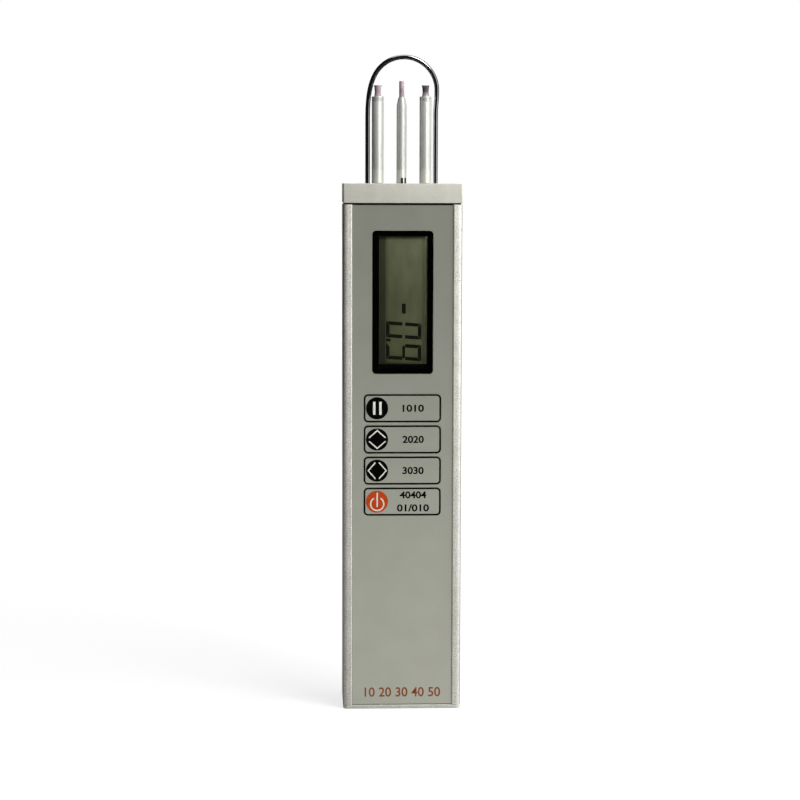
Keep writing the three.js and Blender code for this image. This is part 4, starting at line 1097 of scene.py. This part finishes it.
def guard_points():
    """The guard's course: each point's incoming handle, place and outgoing handle."""
    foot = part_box("guard_wire")[0].z - head_high.z

    def leg(x, rise, hand):
        return [[Vector((x, foot))] * 3, [Vector((x, rise + step)) for step in (-hand, 0, hand)]]

    arch = [arch_point(ARCH_END * (1 - part / ARCH_PARTS)) for part in range(ARCH_PARTS + 1)]
    first, last = arch[0], arch[-1]
    first[0] = first[1] + (first[0] - first[1]).normalized() * LEFT_HAND
    last[2] = last[1] + (last[2] - last[1]).normalized() * RIGHT_HAND
    left = leg(-LEG_SPREAD, LEFT_BEND_RISE, LEFT_HAND)
    right = leg(LEG_SPREAD, RIGHT_BEND_RISE, -RIGHT_HAND)
    return left + arch + right[::-1]


def add_guard():
    curve = bpy.data.curves.new("guard", "CURVE")
    curve.dimensions = "3D"
    curve.bevel_depth = WIRE_RADIUS
    curve.bevel_resolution = WIRE_ROUNDNESS
    curve.resolution_u = WIRE_FINENESS
    curve.use_fill_caps = True
    points = guard_points()
    spline = curve.splines.new("BEZIER")
    spline.bezier_points.add(len(points) - 1)
    for knot, point in zip(spline.bezier_points, points):
        knot.handle_left_type = knot.handle_right_type = "FREE"
        before, place, after = [(p.x, guide_y, head_high.z + p.y) for p in point]
        knot.co, knot.handle_left, knot.handle_right = place, before, after
    add_piece("guard_fine", smoothed(mesh_of(placed("guard", curve))), "chrome_wire", "guard_wire")


# The sensor's beam

def add_beam():
    """The beam under the stem, sliced across its thin part; in the meter that part bends, the foot stays and the
    top goes with the stem.
    """
    joint = next(joint for joint in frame["joints"] if joint["name"] == "stem_bend")
    middle = Vector(joint["pos_m"])
    reach = Vector((0, 0, BEAM_REACH))
    form = bmesh.new()
    form.from_mesh(frame["nodes"]["load_beam"].data)
    bmesh.ops.remove_doubles(form, verts=form.verts, dist=WELD_DISTANCE)
    for step in range(BEAM_CUTS + 1):
        level = middle + reach * (2 * step / BEAM_CUTS - 1)
        parts = form.verts[:] + form.edges[:] + form.faces[:]
        bmesh.ops.bisect_plane(form, geom=parts, dist=WELD_DISTANCE, plane_co=level, plane_no=(0, 0, 1))
    mesh = bpy.data.meshes.new("bending_beam")
    form.to_mesh(mesh)
    form.free()
    mesh.materials.clear()
    mesh.materials.append(materials["panel_aluminium"])
    piece = placed("bending_beam", smoothed(mesh))
    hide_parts("load_beam")
    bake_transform(piece)


# Finishes of the nodes that keep their solids

def dress_nodes():
    for part in frame["record"]["subparts"]:
        surfaces = frame["nodes"][part["node"]].data.materials
        surfaces.clear()
        surfaces.append(materials[part["material_slot"]])


# Studio and camera

def choose(tree, output, share, first, second):
    """Send one shader or the other to the output, by a share of 0 or 1."""
    choice = add_node(tree, "MixShader", {0: share, 1: first.outputs[0], 2: second.outputs[0]})
    feed(tree, tree.nodes[output], {"Surface": choice.outputs[0]})


def seen_directly(tree):
    """1 for rays from the camera, a mirror or glass, and 0 for light that spreads."""
    path = add_node(tree, "LightPath")
    total = path.outputs["Is Camera Ray"]
    for ray in ("Is Glossy Ray", "Is Transmission Ray"):
        total = add_node(tree, "Math", {0: total, 1: path.outputs[ray]}, operation="MAXIMUM").outputs[0]
    return total


def facing(place):
    """The turn that points a light or a card at the object."""
    return (Vector(place) - LIGHT_AIM).to_track_quat("Z", "Y")


def add_plane(name, size, placement, finish):
    """A flat sheet of the stage: it faces up before it is placed."""
    x, y = size[0] / 2, size[1] / 2
    mesh = bpy.data.meshes.new(name)
    mesh.from_pydata([(-x, -y, 0), (x, -y, 0), (x, y, 0), (-x, y, 0)], [], [(0, 1, 2, 3)])
    mesh.materials.append(materials[finish])
    sheet = placed(name, mesh)
    sheet.matrix_world = placement
    return sheet


def add_floor():
    """A pale floor that keeps the shadow near the object and runs out to plain white."""
    tree, shader = new_material("studio_floor")
    feed(tree, shader, {"Base Color": grey(FLOOR_ALBEDO), "Roughness": 0.9, "Specular IOR Level": 0.1})
    place = add_node(tree, "TexCoord").outputs["Object"]
    distance = add_node(tree, "VectorMath", {0: place}, operation="LENGTH").outputs["Value"]
    levels = ramp(tree, distance, [(reach, grey(level)) for reach, level in FLOOR_GLOW])
    glow = add_node(tree, "Emission", {"Color": levels})
    both = add_node(tree, "AddShader", {0: shader.outputs[0], 1: glow.outputs[0]})
    choose(tree, "Material Output", seen_directly(tree), shader, both)
    placement = Matrix.Translation((0, 0, cad_low.z - FLOOR_DROP))
    add_plane("studio_floor", (FLOOR_SIZE, FLOOR_SIZE), placement, "studio_floor")


def add_world():
    """A dim even light, which the camera, metal and glass see as plain white."""
    scene.world = bpy.data.worlds.new("studio")
    scene.world.use_nodes = True
    tree = scene.world.node_tree
    dim = tree.nodes["Background"]
    feed(tree, dim, {"Color": grey(1.0), "Strength": WORLD_LEVEL})
    white = add_node(tree, "Background", {"Color": grey(1.0)})
    choose(tree, "World Output", seen_directly(tree), dim, white)


def add_softbox(name, place, size, power):
    """A soft light on the object. Metal and glass mirror the white surroundings in its stead."""
    light = bpy.data.lights.new(name, "AREA")
    light.shape = "RECTANGLE"
    light.size, light.size_y = size
    light.energy = power
    lamp = placed(name, light)
    lamp.location = place
    lamp.rotation_mode = "QUATERNION"
    lamp.rotation_quaternion = facing(place)
    lamp.visible_glossy = False


def dark_cloth(name, from_above=False):
    """Dark cloth. Where it shows from above alone, rays from below pass through it."""
    tree, shader = new_material(name)
    feed(tree, shader, {"Base Color": grey(0.01), "Roughness": 1.0})
    if from_above:
        side = add_node(tree, "NewGeometry").outputs["Backfacing"]
        choose(tree, "Material Output", side, shader, add_node(tree, "BsdfTransparent"))


def bright_cloth():
    """Cloth that shines evenly, for the highlight that runs down round metal."""
    tree, _ = new_material("bright_cloth")
    glow = add_node(tree, "Emission", {"Strength": BRIGHT_CARD_LEVEL})
    feed(tree, tree.nodes["Material Output"], {"Surface": glow.outputs[0]})


def add_card(name, size, placement, finish):
    """A card that shows in metal and glass alone: the camera and plain surfaces don't see it."""
    card = add_plane(name, size, placement, finish)
    card.visible_camera = False
    card.visible_diffuse = False
    card.visible_shadow = False


def add_cards():
    dark_cloth("card_cloth")
    dark_cloth("low_cloth", from_above=True)
    bright_cloth()
    upright = Matrix.Rotation(pi / 2, 4, "X")
    for name, turn, distance, width in UPRIGHT_CARDS:
        around = Matrix.Rotation(radians(turn), 4, "Z")
        away = Matrix.Translation((0, -distance, CARD_HEIGHT / 2))
        add_card(name, (width, CARD_HEIGHT), around @ away @ upright, "card_cloth")
    turn = facing(BRIGHT_CARD_PLACE).to_matrix().to_4x4()
    placement = Matrix.Translation(BRIGHT_CARD_PLACE) @ turn
    add_card("bright_card", BRIGHT_CARD_SIZE, placement, "bright_cloth")
    add_card("low_card", LOW_CARD_SIZE, Matrix.Translation(LOW_CARD_PLACE), "low_cloth")


def add_camera():
    """The photograph's view: a little from the left, a little from above, with a trace of roll."""
    back = Vector((0, -cos(CAMERA_PITCH), sin(CAMERA_PITCH))) * CAMERA_DISTANCE
    place = CAMERA_AIM + back + Vector((CAMERA_SIDE, 0, 0))
    forward = (CAMERA_AIM - place).normalized()
    right = forward.cross(Vector((0, 0, 1))).normalized()
    up = right.cross(forward)
    c, s = cos(CAMERA_ROLL), sin(CAMERA_ROLL)
    right, up = right * c + up * s, up * c - right * s
    data = bpy.data.cameras.new("camera")
    data.sensor_width = SENSOR_WIDTH
    data.lens = FOCAL_PIXELS / FRAME_PIXELS * SENSOR_WIDTH
    data.clip_start = CAMERA_CLIP
    camera = placed("camera", data)
    camera.matrix_world = Matrix.Translation(place) @ Matrix((right, up, -forward)).transposed().to_4x4()
    scene.camera = camera
    scene.view_settings.view_transform = "Standard"


add_camera()
add_world()
add_floor()
for softbox in SOFTBOXES:
    add_softbox(*softbox)
add_cards()

dress_nodes()
add_case()
add_head_plate()
add_bottom_plate()
add_screws("head")
add_screws("base")
add_film()
for key in range(KEY_COUNT):
    add_key(key)
add_window()
add_display()
for side, tip_slot in (("left", "pink_ceramic"), ("right", "dark_ceramic")):
    add_post(side)
    add_tip(side, tip_slot)
add_stem()
add_pin()
add_guard()
add_beam()
